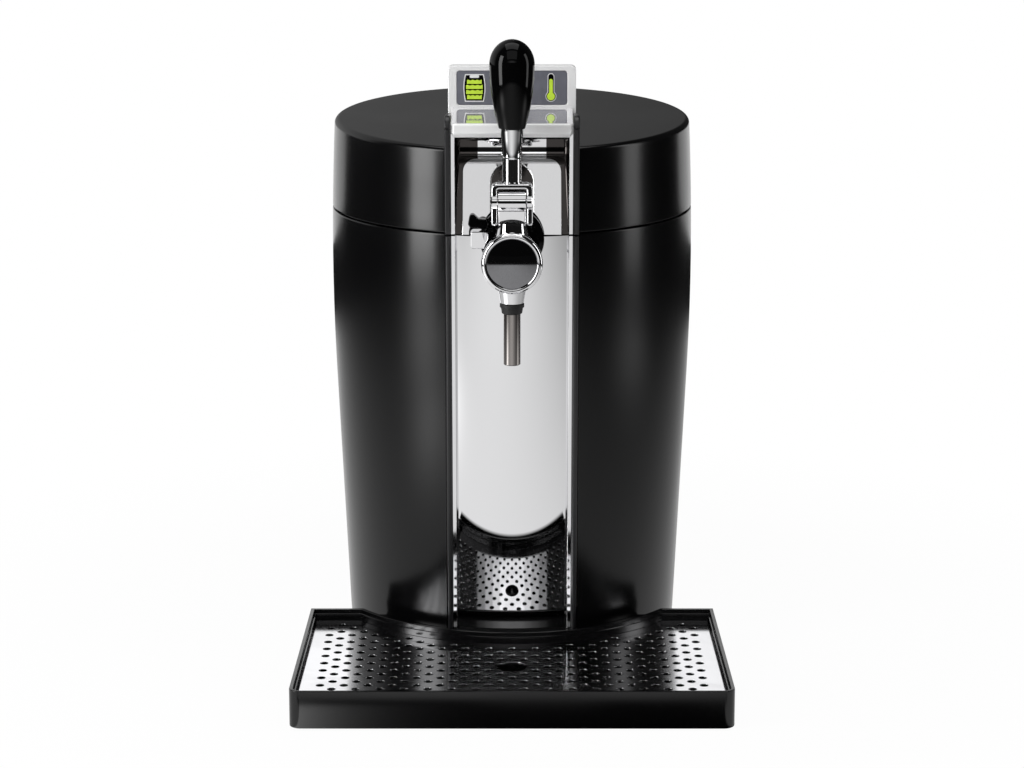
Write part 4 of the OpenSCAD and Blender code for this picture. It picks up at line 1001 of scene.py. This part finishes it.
    def _nose(self) -> None:
        """The bright nose bar, its lip over the niche, and the mirror shelf that slopes down to it."""
        back, half, chamfer = self._niche_curve(0)[-1][0] - SEAT, COLUMN.rail_in - SEAT, 2.5
        rear, low, top, under = -self.bezel_reach - SEAT, self.nose_z, self.nose_top_z, self.shelf_z - 3
        mirror_t, edge = 0.5, 2.4
        rings = []
        for x, inset in ((-half, chamfer), (chamfer - half, 0.0), (half - chamfer, 0.0), (half, chamfer)):
            front = inset - self.nose_reach
            section = [(rear, under), (back, under), (back, low), (front + 6.4, low),
                       (front + 5.4, low - self.lip), (front + 3.4, low - self.lip), (front, low + 0.2),
                       (front, top - 0.7), (front + 0.7, top), (front + edge, top),
                       (rear, self.shelf_rear_z - mirror_t)]
            rings.append([at(x, y, z) for y, z in section])
        nose = soften(loft("nose_bar", rings), 0.35, 3, 25)
        self.shop.hand_over(nose, "satin_chrome", "lid", "display_nose", slot="chrome")
        start = edge + 0.2 - self.nose_reach
        section = [(start, top - mirror_t), (start, top), (rear, self.shelf_rear_z),
                   (rear, self.shelf_rear_z - mirror_t)]
        shelf = drawn("shelf_mirror", section, -half + 0.5, half - 0.5, Axis.X)
        soften(shelf, 0.15, 2, 40)
        self.shop.hand_over(shelf, "shelf_steel", "lid", slot="chrome")

    def _frame(self, half_w: float, half_h: float, r: float, z: float | None = None) -> list[Point2]:
        """Rounded outline about the display window, in X and Z."""
        middle = self.window_z if z is None else z
        return rounded(-half_w, middle - half_h, half_w, middle + half_h, r)

    def _bezel(self) -> None:
        """The bright bezel and the smoked window in it."""
        foot = self.top_at(-self.bezel_reach) - 6
        middle, half_h = (foot + self.bezel_top) / 2, (self.bezel_top - foot) / 2
        w, h = self.window_half
        outline = self._frame(self.bezel_half, half_h, 3.5, middle)
        bezel = drawn("display_frame", outline, -self.bezel_reach, self.pod_back, Axis.Y)
        hole = drawn("cut", self._frame(w + 0.2, h + 0.2, 2.4), -100, -self.bezel_reach + 1.8, Axis.Y)
        well = drawn("cut", self._frame(w - 4, h - 2.5, 1), -90, -70, Axis.Y)
        cut(bezel, [hole, well])
        soften(bezel, 0.6, 3, 40)
        self.shop.hand_over(bezel, "satin_chrome", "lid", "display_bezel", slot="chrome")
        face = -self.bezel_reach + 0.3
        window = drawn("display_glass", self._frame(w, h, 2.2), face, face + 1.4, Axis.Y)
        soften(window, 0.25, 2)
        self.shop.hand_over(window, "smoked_window", "lid", "display_window")

    def _print(self, name: str, shapes: Sequence[Sequence[Point2]], finish: str, level: int,
               node: Sequence[str] = ()) -> None:
        """Lays thin shapes on the window.

        Args:
            name: Name of the piece.
            shapes: Outlines in X and Z.
            finish: Name of the finish.
            level: Layer, counted from the glass outwards.
            node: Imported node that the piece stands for.
        """
        face = -self.bezel_reach + 0.3 - 0.12 * level
        pieces = [drawn("layer", shape, face, face + 0.11, Axis.Y) for shape in shapes]
        self.shop.hand_over(join(name, pieces), finish, "lid", *node, slot="symbol_green")

    def _symbols(self) -> None:
        """The keg and thermometer symbols, each a halo, a dark form and its green parts."""
        x, z = self.keg_x, self.window_z

        def keg(half: float, tall: float, bulge: float) -> list[Point2]:
            """Barrel outline with bulging sides."""
            right = [(half - bulge * (2 * t - 1) ** 2 + bulge, tall * (2 * t - 1)) for t in
                     (i / 8 for i in range(9))]
            return [(x + a, z + b) for a, b in right] + [(x - a, z + b) for a, b in reversed(right)]

        self._print("keg_halo", [keg(6.9, 10.2, 1.2)], "symbol_white", 1)
        self._print("keg_form", [keg(6.2, 9.4, 1.2)], "gloss_black", 2)
        bars = []
        for i in range(4):
            low = z - 8.2 + i * 3.75
            half = 5.4 + 1.0 * (1 - abs(i - 1.5) / 1.5)
            wave = [(x - half + 2 * half * k / 12, low + 2.75 + 0.35 * math.sin(k * 1.7)) for k in range(13)]
            bars.append([(x - half, low), (x + half, low), *reversed(wave)])
        self._print("keg_level", bars, "symbol_green", 3, ["display_symbols"])
        self._print("keg_cap", [rounded(x - 3.4, z + 7.4, x + 3.4, z + 9.6, 0.6, 3)], "symbol_white", 3)
        x = self.gauge_x

        def gauge(bulb: float, stem: float, top: float) -> list[Point2]:
            """Thermometer outline: a bulb with a round-topped stem."""
            gap = math.degrees(math.asin(stem / bulb))
            return [*arc(x, z - 6.2, bulb, 90 + gap, 450 - gap, 24), *arc(x, z + top, stem, 0, 180, 10)]

        self._print("gauge_halo", [gauge(4.0, 2.5, 8.4)], "symbol_white", 1)
        self._print("gauge_form", [gauge(3.5, 2.0, 8.3)], "gloss_black", 2)
        self._print("gauge_level", [gauge(2.9, 1.3, 5.4)], "symbol_green", 3)

    def _cover(self) -> None:
        """The cover behind the display."""
        front, top = self.pod_back + SEAT, self.bezel_top - 1.5
        end = front + self.hood_depth
        outline = [(front, self.top_at(front) + SEAT), (front, top), *arc(front + 9, top - 9, 9, 90, 36, 8),
                   (end, self.top_at(end) + 2), (end, self.top_at(end) + SEAT)]
        cover = drawn("display_hood", outline, -self.hood_half, self.hood_half, Axis.X)
        soften(cover, 2.0, 4, 40)
        self.shop.hand_over(cover, "shell_black", "lid", "display_cover")


@dataclass
class Tap:
    """The tap head with its collar, spout and lever."""

    shop: Shop
    head_z: float = 316.5
    collar_back: float = -141.053
    collar_front: float = -146.053
    head_front: float = -180.053
    pivot_y: float = -164.053
    pivot_z: float = 358.0
    spout_y: float = -169.453
    knuckle_half: float = 10.3
    catch_x: float = -21.0
    catch_z: float = 339.0
    guard_lean: float = 0.2
    neck_step: float = 2.2
    neck_lean: float = 0.124
    knob_z: float = 410.5

    def build(self) -> None:
        """Makes every piece."""
        self._collar()
        self._head()
        self._ring()
        self._spout()
        self._catch()
        self._lever()

    def _collar(self) -> None:
        """The black collar on the column, with the catch's ear and guard."""
        back, front = self.collar_back, self.collar_front
        profile = [(0, back), (23.4, back), (23.4, front + 1.6), (23.0, front + 0.7), (22.0, front + 0.1),
                   (19.5, front), (19.0, front + 0.6), (18.2, front + 0.6), (17.8, front), (0, front)]
        disc = turned("disc", profile, Axis.Y, (0, SHANK_Z), 120)
        ear = turned("ear", [(0, back), (4.2, back), (4.2, front + 1.2), (0, front + 1)], Axis.Y,
                     (self.catch_x, self.catch_z), 40)
        collar = join("tap_collar_gloss", [disc, ear])
        self.shop.hand_over(collar, "gloss_black", "lid", "tap_collar")
        x, z = self.catch_x, self.catch_z - 5
        shape = rounded(x - 9, z - 13, x + 4, z, 2.4)
        guard = drawn("catch_guard", shape, front - 8, back, Axis.Y)
        for vert in guard.data.vertices:
            if vert.co.y * 1000 - AXIS_Y < front - 4:
                vert.co.y += (z / 1000 - vert.co.z) * self.guard_lean
        head = turned("cut", [(20.5, front - 20), (20.5, back + 5)], Axis.Y, (0, self.head_z), 128)
        cut(guard, [head])
        soften(guard, 0.8, 3, 40)
        self.shop.hand_over(guard, "chrome", "lid")

    def _head(self) -> None:
        """The chrome head: barrel, flared neck, knuckle and spout cone."""
        back, front, z = self.collar_front, self.head_front, self.head_z
        barrel = turned("barrel", [
            (0, back), (17.2, back), (18.2, back - 1.0), (18.8, back - 5), (19.4, back - 10), (20, back - 16),
            (20, front + 1.0), (19.6, front + 0.2), (19.0, front), (0, front)], Axis.Y, (0, z), 128)
        half, y, r = self.knuckle_half, self.pivot_y, 8.5
        rings = []
        for level in (z + 6, self.pivot_z):
            front = y - r + self.neck_step + (self.pivot_z - level) * self.neck_lean
            rings.append([at(a, b, level) for a, b in rounded(-half, front, half, y + r, 1.6)])
        neck = loft("neck", rings)
        end = [(0, half), (r - 0.9, half), (r - 0.2, half - 0.3), (r, half - 1)]
        knuckle = turned("knuckle", [(a, -b) for a, b in end] + end[::-1], Axis.X, (y, self.pivot_z), 72)
        flare = [(15.8 - 5.0 * sind(a), 26.5 - 12.5 * cosd(a)) for a in range(0, 91, 15)]
        skirt = turned("skirt", [(0, z + 14), *((a, z + b) for a, b in flare), (0, z + 26.5)],
                       centre=(0, y), steps=80)
        cone = turned("cone", [(0, 285), (8.0, 285), (8.5, 285.5), (10.6, 298.0), (0, 301)],
                      centre=(0, self.spout_y), steps=80)
        head = join("tap_head", [barrel, neck, knuckle, skirt, cone])
        self.shop.hand_over(head, "chrome", "lid", "tap_body")

    def _ring(self) -> None:
        """The bright ring on the front and the dark mirror disc in it."""
        back, front = self.head_front - SEAT, self.head_front - 7
        profile = [(0, back), (20.6, back), (21.6, back - 0.5), (22.0, back - 1.4), (22.0, front + 2.2),
                   (21.5, front + 1.0), (20.5, front + 0.2), (19.6, front), (18.7, front + 0.3),
                   (18.1, front + 1.1), (18.1, front + 3), (0, front + 3)]
        ring = turned("tap_front_ring", profile, Axis.Y, (0, self.head_z), 144)
        self.shop.hand_over(ring, "chrome", "lid", "tap_ring")
        face, crown, sphere = front + 1.6, 1.45, 90.0
        dome = [(r, face - crown + sphere - math.sqrt(sphere**2 - r**2)) for r in (17.6, 15, 12, 9, 6, 3, 0)]
        lens = turned("tap_lens", [(0, front + 3), (18, front + 3), (18, face + 0.3), *dome],
                      Axis.Y, (0, self.head_z), 96)
        self.shop.hand_over(lens, "lens_dark", "lid", "tap_cap", slot="gloss_black")

    def _spout(self) -> None:
        """The rubber seal and the steel spout tube."""
        centre = (0, self.spout_y)
        profile = [(5.84, 277.5), (6.9, 277.5), (7.4, 278.0), (8.0, 282.0), (8.8, 282.3), (8.8, 284.6),
                   (8.5, 284.9), (5.84, 284.9), (5.84, 277.5)]
        seal = turned("spout_collar", profile, centre=centre, steps=64, loop=True)
        self.shop.hand_over(seal, "rubber", "lid", "spout_seal")
        tube = turned("spout_pipe", [
            (5.0, 239.8), (5.7, 239.8), (6.2, 240.3), (6.2, 277.3), (5.8, 277.3), (5.8, 284.9), (5.0, 284.9),
            (5.0, 239.8)], centre=centre, steps=64, loop=True)
        self.shop.hand_over(tube, "drawn_steel", "lid", "spout_tube", slot="steel")

    def _catch(self) -> None:
        """The release catch: a thumb tab on its hub."""
        y0, y1, x, z = self.collar_front - 8.3, self.collar_front - 0.3, self.catch_x, self.catch_z
        shape = [*arc(x, z, 4.2, -90, 80, 14), (x - 3, z + 4.4), *arc(x - 7.4, z + 5.2, 2.5, 60, 175, 8),
                 *arc(x - 7.4, z + 1, 3.2, 180, 270, 8), (x - 2.5, z - 2.2)]
        tab = drawn("catch_tab", shape, y0, y1, Axis.Y)
        soften(tab, 0.8, 3, 40)
        self.shop.hand_over(tab, "gloss_black", "catch", "release_catch")

    def _lever(self) -> None:
        """The yoke, the stem and the knob."""
        y, z, out, inner = self.pivot_y, self.pivot_z, 14.9, 10.6
        top, arm = z + 13.5, z - 14.8
        half_arch = [*arc(out - 4.3, top - 4.3, 4.3, 90, 0, 8), (out, arm),
                     *arc(out - 2.15, arm, 2.15, 0, -180, 8), (inner, z + 8.0),
                     *arc(inner - 1.6, z + 8.0, 1.6, 0, 90, 4)]
        shape = half_arch + [(-a, b) for a, b in reversed(half_arch)]
        yoke = drawn("yoke", shape, y - 6, y + 6, Axis.Y)
        soften(yoke, 1.3, 4, 40)
        boss = [(0, 10.7), (7.5, 10.7), (7.5, 14.2), (6.9, 14.9), (3.6, 15.0), (3.3, 15.3), (0, 15.3)]
        bosses = [turned("boss", [(r, side * along) for r, along in boss], Axis.X, (y, z), 56)
                  for side in (-1, 1)]
        yoke = join("lever_arch", [yoke, *bosses])
        self.shop.hand_over(yoke, "chrome", "lever", "lever_yoke")
        foot, knob = top + SEAT / 2, self.knob_z
        stem = turned("lever_shaft", [
            (0, foot), (7.2, foot), (7.2, foot + 0.6), (6.85, foot + 1.0), (6.85, foot + 17.5),
            (7.15, foot + 17.8), (7.2, foot + 18.5), (6.9, foot + 19.0), (7.1, foot + 24), (7.7, foot + 31),
            (8.4, foot + 37.5), (8.5, knob - 0.1), (0, knob - 0.1)], centre=(0, y), steps=80)
        self.shop.hand_over(stem, "chrome", "lever", "lever_stem")
        foot_r, r, taper, dome = 9.75, 16.1, 45.5, 18.0
        wall = [(foot_r + (r - foot_r) * (1 - (1 - i / 14) ** 2), knob + 1 + (taper - 1) * i / 14)
                for i in range(15)]
        cap = [(r * cosd(a), knob + taper + dome * sind(a)) for a in range(6, 91, 6)]
        profile = [(0, knob), (foot_r - 1.2, knob), (foot_r - 0.3, knob + 0.3), *wall, *cap]
        grip = turned("lever_grip", profile, centre=(0, y), steps=96)
        self.shop.hand_over(grip, "gloss_black", "lever", "lever_knob")


@dataclass
class DripTray:
    """The slide-off tray and its perforated grid."""

    shop: Shop
    width: float = 315.0
    front: float = -277.0
    back: float = -82.0
    rim: float = 28.2
    corner: float = 8.0
    hollow_r: float = 140.0
    grid_z: float = 19.5
    grid_t: float = 1.2
    pitch: Point2 = (8.6, 8.3)
    drain_r: float = 3.0
    finger_r: float = 10.75
    finger_y: float = -196.3
    taper: float = 3.6
    pad_x: Point2 = (-141.5, 141.5)
    pad_y: Point2 = (-257.0, -98.0)
    socket_x: Point2 = (-60.0, 60.0)
    hole_round: float = 0.2

    def outline(self, inset: float) -> list[Point2]:
        """Plan outline of the tray, drawn in, with its hollow back edge.

        Args:
            inset: Distance inside the outer edge.

        Returns:
            The outline, anticlockwise from the hollow's right end.
        """
        half, r = self.width / 2 - inset, max(self.corner - inset, 0.6)
        low = self.front + inset
        high, hollow = self.back - inset, self.hollow_r + inset
        end = math.degrees(math.asin(high / hollow))
        corners = [*arc(-half + r, low + r, r, 180, 270, 6), *arc(half - r, low + r, r, 270, 360, 6)]
        wing = half - self.taper
        return [*corners, (wing, high), *arc(0, 0, hollow, end, -180 - end, 72), (-wing, high)]

    def build(self) -> None:
        """Makes every piece."""
        self._tray()
        self._grid()

    def _loops(self, steps: Sequence[tuple[float, float]]) -> list[list[Vector]]:
        """Rings of the tray's wall.

        Args:
            steps: Inset and height of each ring.

        Returns:
            The rings' points.
        """
        return [[at(x, y, z) for x, y in self.outline(inset)] for inset, z in steps]

    def _tray(self) -> None:
        """The tray: outer wall, stepped rim, grid ledge and bowl."""
        rim, ledge = self.rim, self.grid_z - self.grid_t - SEAT
        steps = [(1.2, 0.4), (0.5, 0.55), (0.12, 0.9), (0.0, 1.5), (0.0, rim - 0.5), (0.12, rim - 0.15),
                 (0.4, rim), (2.6, rim), (2.85, rim - 0.2), (2.95, rim - 0.6), (3.0, rim - 3.3),
                 (3.25, rim - 3.6), (3.9, rim - 3.7), (3.9, rim - 4.2), (3.35, rim - 4.3), (3.3, rim - 4.6),
                 (3.5, ledge), (6.4, ledge), (6.6, ledge - 0.4), (7.4, 6.2), (8.2, 4.9), (9.6, 4.5)]
        tray = loft("tray_moulding", self._loops(steps))
        pad = [(0, 0), (6.4, 0), (7, 0.5), (7, 2.6), (0, 2.6)]
        pads = [turned("pad", pad, centre=(x, y), steps=32) for x in self.pad_x for y in self.pad_y]
        tray = join("tray_moulding", [tray, *pads])
        sockets = [block("cut", (x - 8.3, -143.1, 6.7), (x + 8.3, -117.3, 12.3)) for x in self.socket_x]
        cut(tray, sockets)
        self.shop.hand_over(tray, "tray_black", "tray", "drip_tray")

    def holes(self) -> list[Point2]:
        """Centres of the drain holes, staggered, clear of the finger hole and the edges."""
        px, py = self.pitch
        margin, wall = 15.0, 3.5
        columns = int((self.width / 2 - wall - margin) / px)
        found = []
        for i in range(-columns, columns + 1):
            for k in range(-14, 8):
                x, y = i * px, self.finger_y - k * py
                if (i + k) % 2 and y > self.front + wall + margin - 0.01 and y < self.back - wall - 3 and \
                        math.hypot(x, y - self.finger_y) > self.finger_r + 4 and \
                        math.hypot(x, y) > self.hollow_r + wall + 7:
                    found.append((x, y))
        return found

    def _grid(self) -> None:
        """The grid plate with its rounded holes."""
        low, high = self.grid_z - self.grid_t, self.grid_z
        edge = [(3.8, low), (3.8, high - 0.25), (4.05, high)]
        grid = loft("grid_plate", self._loops(edge))
        cutters = [turned("cut", [(self.drain_r, low - 1), (self.drain_r, high + 1)], centre=spot,
                          steps=24) for spot in self.holes()]
        cutters.append(turned("cut", [(self.finger_r, low - 1), (self.finger_r, high + 1)],
                              centre=(0, self.finger_y), steps=64))
        cut(grid, [join("cut", cutters)])
        pick(grid)
        bpy.ops.object.mode_set(mode="EDIT")
        bpy.ops.mesh.select_all(action="DESELECT")
        mesh = bmesh.from_edit_mesh(grid.data)
        # Rims of the holes: short edges of the top face, each with one upright wall
        for e in mesh.edges:
            a, b = e.verts
            flat = min(a.co.z, b.co.z) > (high - 0.02) / 1000
            short = (a.co - b.co).length < 0.0012
            walls = [f for f in e.link_faces if abs(f.normal.z) < 0.3]
            if flat and short and len(walls) == 1:
                e.select_set(True)
        bmesh.update_edit_mesh(grid.data)
        bpy.ops.mesh.bevel(offset=self.hole_round / 1000, offset_type="OFFSET", segments=2, affect="EDGES")
        bpy.ops.object.mode_set(mode="OBJECT")
        self.shop.hand_over(grid, "grid_steel", "grid", "drip_grid", slot="steel")


# --- studio -------------------------------------------------------------------------------


@dataclass(frozen=True)
class Field:
    """A shader value to do sums with: each step adds one Math node to its tree."""

    tree: Tree
    socket: Socket

    def math(self, operation: str, *values: Field | float, clamp: bool = False) -> Field:
        """Adds a Math node with this value as its first input.

        Args:
            operation: Its operation.
            values: Its other inputs.
            clamp: Whether its result is kept between 0 and 1.

        Returns:
            Its result.
        """
        node = self.tree.nodes.new("ShaderNodeMath")
        node.operation, node.use_clamp = operation, clamp
        for socket, value in zip(node.inputs, (self, *values)):
            if isinstance(value, Field):
                self.tree.links.new(value.socket, socket)
            else:
                socket.default_value = value
        return Field(self.tree, node.outputs[0])

    def __add__(self, other: Field | float) -> Field:
        """Adds a value."""
        return self.math("ADD", other)

    def __sub__(self, other: Field | float) -> Field:
        """Takes a value away."""
        return self.math("SUBTRACT", other)

    def __mul__(self, other: Field | float) -> Field:
        """Multiplies by a value."""
        return self.math("MULTIPLY", other)

    def __truediv__(self, other: Field | float) -> Field:
        """Divides by a value."""
        return self.math("DIVIDE", other)

    def __or__(self, other: Field | float) -> Field:
        """Takes the larger of two values."""
        return self.math("MAXIMUM", other)

    def squared(self) -> Field:
        """The value times itself."""
        return self.math("POWER", 2.0)

    def rest(self) -> Field:
        """What the value lacks to 1."""
        return self.math("MULTIPLY_ADD", -1.0, 1.0)

    def ramp(self, start: float, run: float) -> Field:
        """A ramp from 0 to 1.

        Args:
            start: Value at which it leaves 0.
            run: How much further on it reaches 1; negative where it rises downwards.

        Returns:
            The ramp.
        """
        return (self - start).math("DIVIDE", run, clamp=True)


def light_rays(tree: Tree) -> tuple[Field, Field]:
    """What kind of ray looks at a material.

    Args:
        tree: The material's own tree.

    Returns:
        1 for the camera's own rays, and 1 for rays that came by a reflection or through glass.
    """
    path = tree.nodes.new("ShaderNodeLightPath")
    camera, glossy, through = (Field(tree, path.outputs[f"Is {key} Ray"])
                               for key in ("Camera", "Glossy", "Transmission"))
    return camera, glossy | through


@dataclass(frozen=True)
class Lamp:
    """A rectangular soft box: lengths in metres, power in watts."""

    name: str
    place: Triple
    size: Point2
    power: float
    aim: Triple = (0.0, 0.0, 0.30)

    def hang(self) -> None:
        """Puts the lamp in the scene, out of the camera's sight."""
        data = bpy.data.lights.new(self.name, "AREA")
        data.shape, data.energy = "RECTANGLE", self.power
        data.size, data.size_y = self.size
        lamp = bpy.data.objects.new(self.name, data)
        lamp.location, lamp.visible_camera = self.place, False
        lamp.rotation_euler = (Vector(self.aim) - Vector(self.place)).to_track_quat("-Z", "Y").to_euler()
        bpy.context.scene.collection.objects.link(lamp)


# The front boxes lie one behind the other, so that their reflection fades to both sides
LAMPS: tuple[Lamp, ...] = (
    Lamp("left_box", (-1.10, -0.72, 0.62), (0.42, 1.15), 14.0),
    Lamp("right_box", (1.25, -0.22, 0.62), (0.30, 1.15), 3.4),
    *(Lamp(f"front_box_{i}", (0.0, -2.05 - 0.01 * i, 1.00), (width, 0.30), power, (0.0, 0.0, 0.20))
      for i, (width, power) in enumerate(((0.6, 0.24), (0.95, 0.32), (1.35, 0.36), (1.8, 0.40)))),
    Lamp("upper_box", (0.0, -1.25, 1.62), (1.50, 1.15), 4.1, (0.0, 0.0, 0.35)),
    Lamp("top_box", (0.0, 0.0, 1.60), (1.10, 0.90), 6.0),
    Lamp("back_card", (0.0, 0.60, 0.27), (1.50, 0.16), 0.75, (0.0, 0.0, 0.27)),
)


@dataclass
class Studio:
    """The camera, the lamps, the floor and the world, in metres in the row frame.

    Each pair called fade or edge holds where a ramp starts and how far it runs.
    """

    lens: float = 106.1
    camera_at: Triple = (0.0, -2.2616, 0.7246)
    pitch: float = 76.77
    floor_grey: float = 0.8
    shadow_r: Point2 = (0.34, 0.25)
    shadow_least: float = 0.96
    pool_half: Point2 = (1.15, 1.25)
    pool_y: float = -0.3
    pool_edge: Point2 = (1.22, -0.16)
    pool_level: float = 0.82
    peak_x: float = -0.15
    peak_width: float = 0.62
    # X, Y, level and squared size of each patch
    patches: tuple[tuple[float, float, float, float], ...] = (
        (-0.52, -0.40, 2.2, 0.020), (-0.90, -0.62, 3.4, 0.045), (1.00, -0.20, 1.3, 0.050))
    least: float = 0.012
    shade_half: Point2 = (0.158, 0.190)
    side_fade: float = 0.003
    front_fade: Point2 = (-0.310, -0.007)
    turn_fade: Point2 = (-0.296, -0.004)
    rear_fade: Point2 = (-0.200, 0.050)
    streak_fade: Point2 = (-0.160, 0.004)
    streak_x: float = -0.157
    streak_width: float = 0.027
    streak_level: Point2 = (2.8, 3.0)
    fill: float = 0.45
    back_fade: Point2 = (0.05, 0.25)
    back_level: Point2 = (-0.8, 0.20)
    back_least: float = 0.03
    front_level: float = 0.01

    def build(self) -> None:
        """Sets everything up."""
        data = bpy.data.cameras.new("camera")
        data.lens, data.sensor_width, data.clip_end = self.lens, 36.0, 20.0
        camera = bpy.data.objects.new("camera", data)
        camera.location = self.camera_at
        camera.rotation_euler = (math.radians(self.pitch), 0, 0)
        bpy.context.scene.collection.objects.link(camera)
        bpy.context.scene.camera = camera
        bpy.context.scene.view_settings.view_transform = "Standard"
        for lamp in LAMPS:
            lamp.hang()
        self._floor()
        self._world()

    def _pool(self, x: Field, y: Field) -> Field:
        """Light on the floor in reflections: an oval pool, stronger on the left, and patches in it."""
        half_x, half_y = self.pool_half
        away = ((x / half_x).squared() + ((y - self.pool_y) / half_y).squared()).math("SQRT")
        peak = ((x - self.peak_x) / self.peak_width).squared() * -0.5
        pool = peak.math("EXPONENT") * self.pool_level * away.ramp(*self.pool_edge)
        for at_x, at_y, level, size in self.patches:
            spot = ((x - at_x).squared() + (y - at_y).squared()) / -size
            pool = spot.math("EXPONENT") * level + pool
        return pool | self.least

    def _reflected(self, x: Field, y: Field) -> Field:
        """The whole floor in reflections.

        Args:
            x: X on the floor.
            y: Y on the floor.

        Returns:
            The pool, but dark by the tray and right before it, with a streak by its left corner.
        """
        near, wide = self.shade_half
        ahead = y.ramp(*self.turn_fade)
        beside = (x.math("ABSOLUTE") - ahead.math("MULTIPLY_ADD", wide - near, near)).math(
            "DIVIDE", self.side_fade, clamp=True)
        lit = y.ramp(*self.front_fade) | beside | y.ramp(*self.rear_fade)
        level, top = self.streak_level
        streak = (((x - self.streak_x) / -self.streak_width).math("EXPONENT") * level).math("MINIMUM", top)
        inside = x.ramp(*self.streak_fade) * ahead.rest()
        return self._pool(x, y) * lit + streak * lit.rest() * inside

    def _floor(self) -> None:
        """A pale floor that the camera sees as white, with the object's soft shadow on it."""
        bpy.ops.mesh.primitive_plane_add(size=12, location=(0, 0, -0.0002))
        floor = bpy.context.object
        floor.name = "floor"
        material = bpy.data.materials.new("floor")
        material.use_nodes = True
        tree = material.node_tree
        tree.nodes.clear()
        out = tree.nodes.new("ShaderNodeOutputMaterial")
        paint = tree.nodes.new("ShaderNodeBsdfDiffuse")
        paint.inputs["Color"].default_value = (*(self.floor_grey,) * 3, 1)
        white, seen = (tree.nodes.new("ShaderNodeEmission") for _ in range(2))
        place = tree.nodes.new("ShaderNodeTexCoord")
        split = tree.nodes.new("ShaderNodeSeparateXYZ")
        tree.links.new(place.outputs["Object"], split.inputs[0])
        x, y = (Field(tree, split.outputs[key]) for key in "XY")
        tree.links.new(self._reflected(x, y).socket, seen.inputs["Strength"])
        clear = (x.squared() + y.squared()).math("SQRT").ramp(*self.shadow_r)
        share = clear.math("MULTIPLY_ADD", 1 - self.shadow_least, self.shadow_least)
        camera, glossy = light_rays(tree)

        def mixed(factor: Field, low: bpy.types.Node, high: bpy.types.Node) -> bpy.types.Node:
            """Mixes two shaders."""
            mix = tree.nodes.new("ShaderNodeMixShader")
            for source, target in zip((factor.socket, low.outputs[0], high.outputs[0]), mix.inputs):
                tree.links.new(source, target)
            return mix

        direct = mixed(camera, paint, mixed(share, paint, white))
        tree.links.new(mixed(glossy, direct, seen).outputs[0], out.inputs["Surface"])
        floor.data.materials.append(material)

    def _world(self) -> None:
        """White to the camera; in reflections white behind the object and dark in front."""
        world = bpy.data.worlds.new("studio")
        bpy.context.scene.world = world
        world.use_nodes = True
        tree = world.node_tree
        tree.nodes.clear()
        out = tree.nodes.new("ShaderNodeOutputWorld")
        sky = tree.nodes.new("ShaderNodeBackground")
        place, split = tree.nodes.new("ShaderNodeTexCoord"), tree.nodes.new("ShaderNodeSeparateXYZ")
        tree.links.new(place.outputs["Generated"], split.inputs[0])
        x, y = (Field(tree, split.outputs[key]) for key in "XY")
        camera, glossy = light_rays(tree)
        behind = x.math("MULTIPLY_ADD", *self.back_level) | self.back_least
        mirrored = y.ramp(*self.back_fade).math("MULTIPLY_ADD", behind, self.front_level)
        level = (camera | self.fill) * glossy.rest() + mirrored * glossy
        tree.links.new(level.socket, sky.inputs["Strength"])
        tree.links.new(sky.outputs[0], out.inputs["Surface"])


# --- the whole ----------------------------------------------------------------------------


def dress_inner(nodes: dict[str, Obj], record: dict, materials: dict[str, bpy.types.Material]) -> None:
    """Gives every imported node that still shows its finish.

    Args:
        nodes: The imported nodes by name.
        record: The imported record.
        materials: The finishes by name.
    """
    slots = {part["node"]: part["material_slot"] for part in record["subparts"]}
    for name, obj in nodes.items():
        if not obj.hide_render:
            obj.data.materials.clear()
            obj.data.materials.append(materials[slots[name]])
            LOG.info("%s keeps its packed shape, in %s", name, slots[name])


def main() -> None:
    """Builds the looks."""
    logging.basicConfig(level=logging.INFO, format="%(name)s: %(message)s")
    for obj in list(bpy.data.objects):
        bpy.data.objects.remove(obj)
    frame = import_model()
    surfaces = Surfaces()
    materials = {finish.name: finish.make(surfaces) for finish in FINISHES}
    shop = Shop(materials, frame["nodes"])
    makers: tuple[Callable[[], None], ...] = (
        Studio().build, BodyShell(shop).build, RearHousing(shop).build, Lid(shop).build, Tap(shop).build,
        DripTray(shop).build)
    for make in makers:
        make()
    dress_inner(frame["nodes"], frame["record"], materials)
    deselect()


if __name__ == "__main__":
    main()
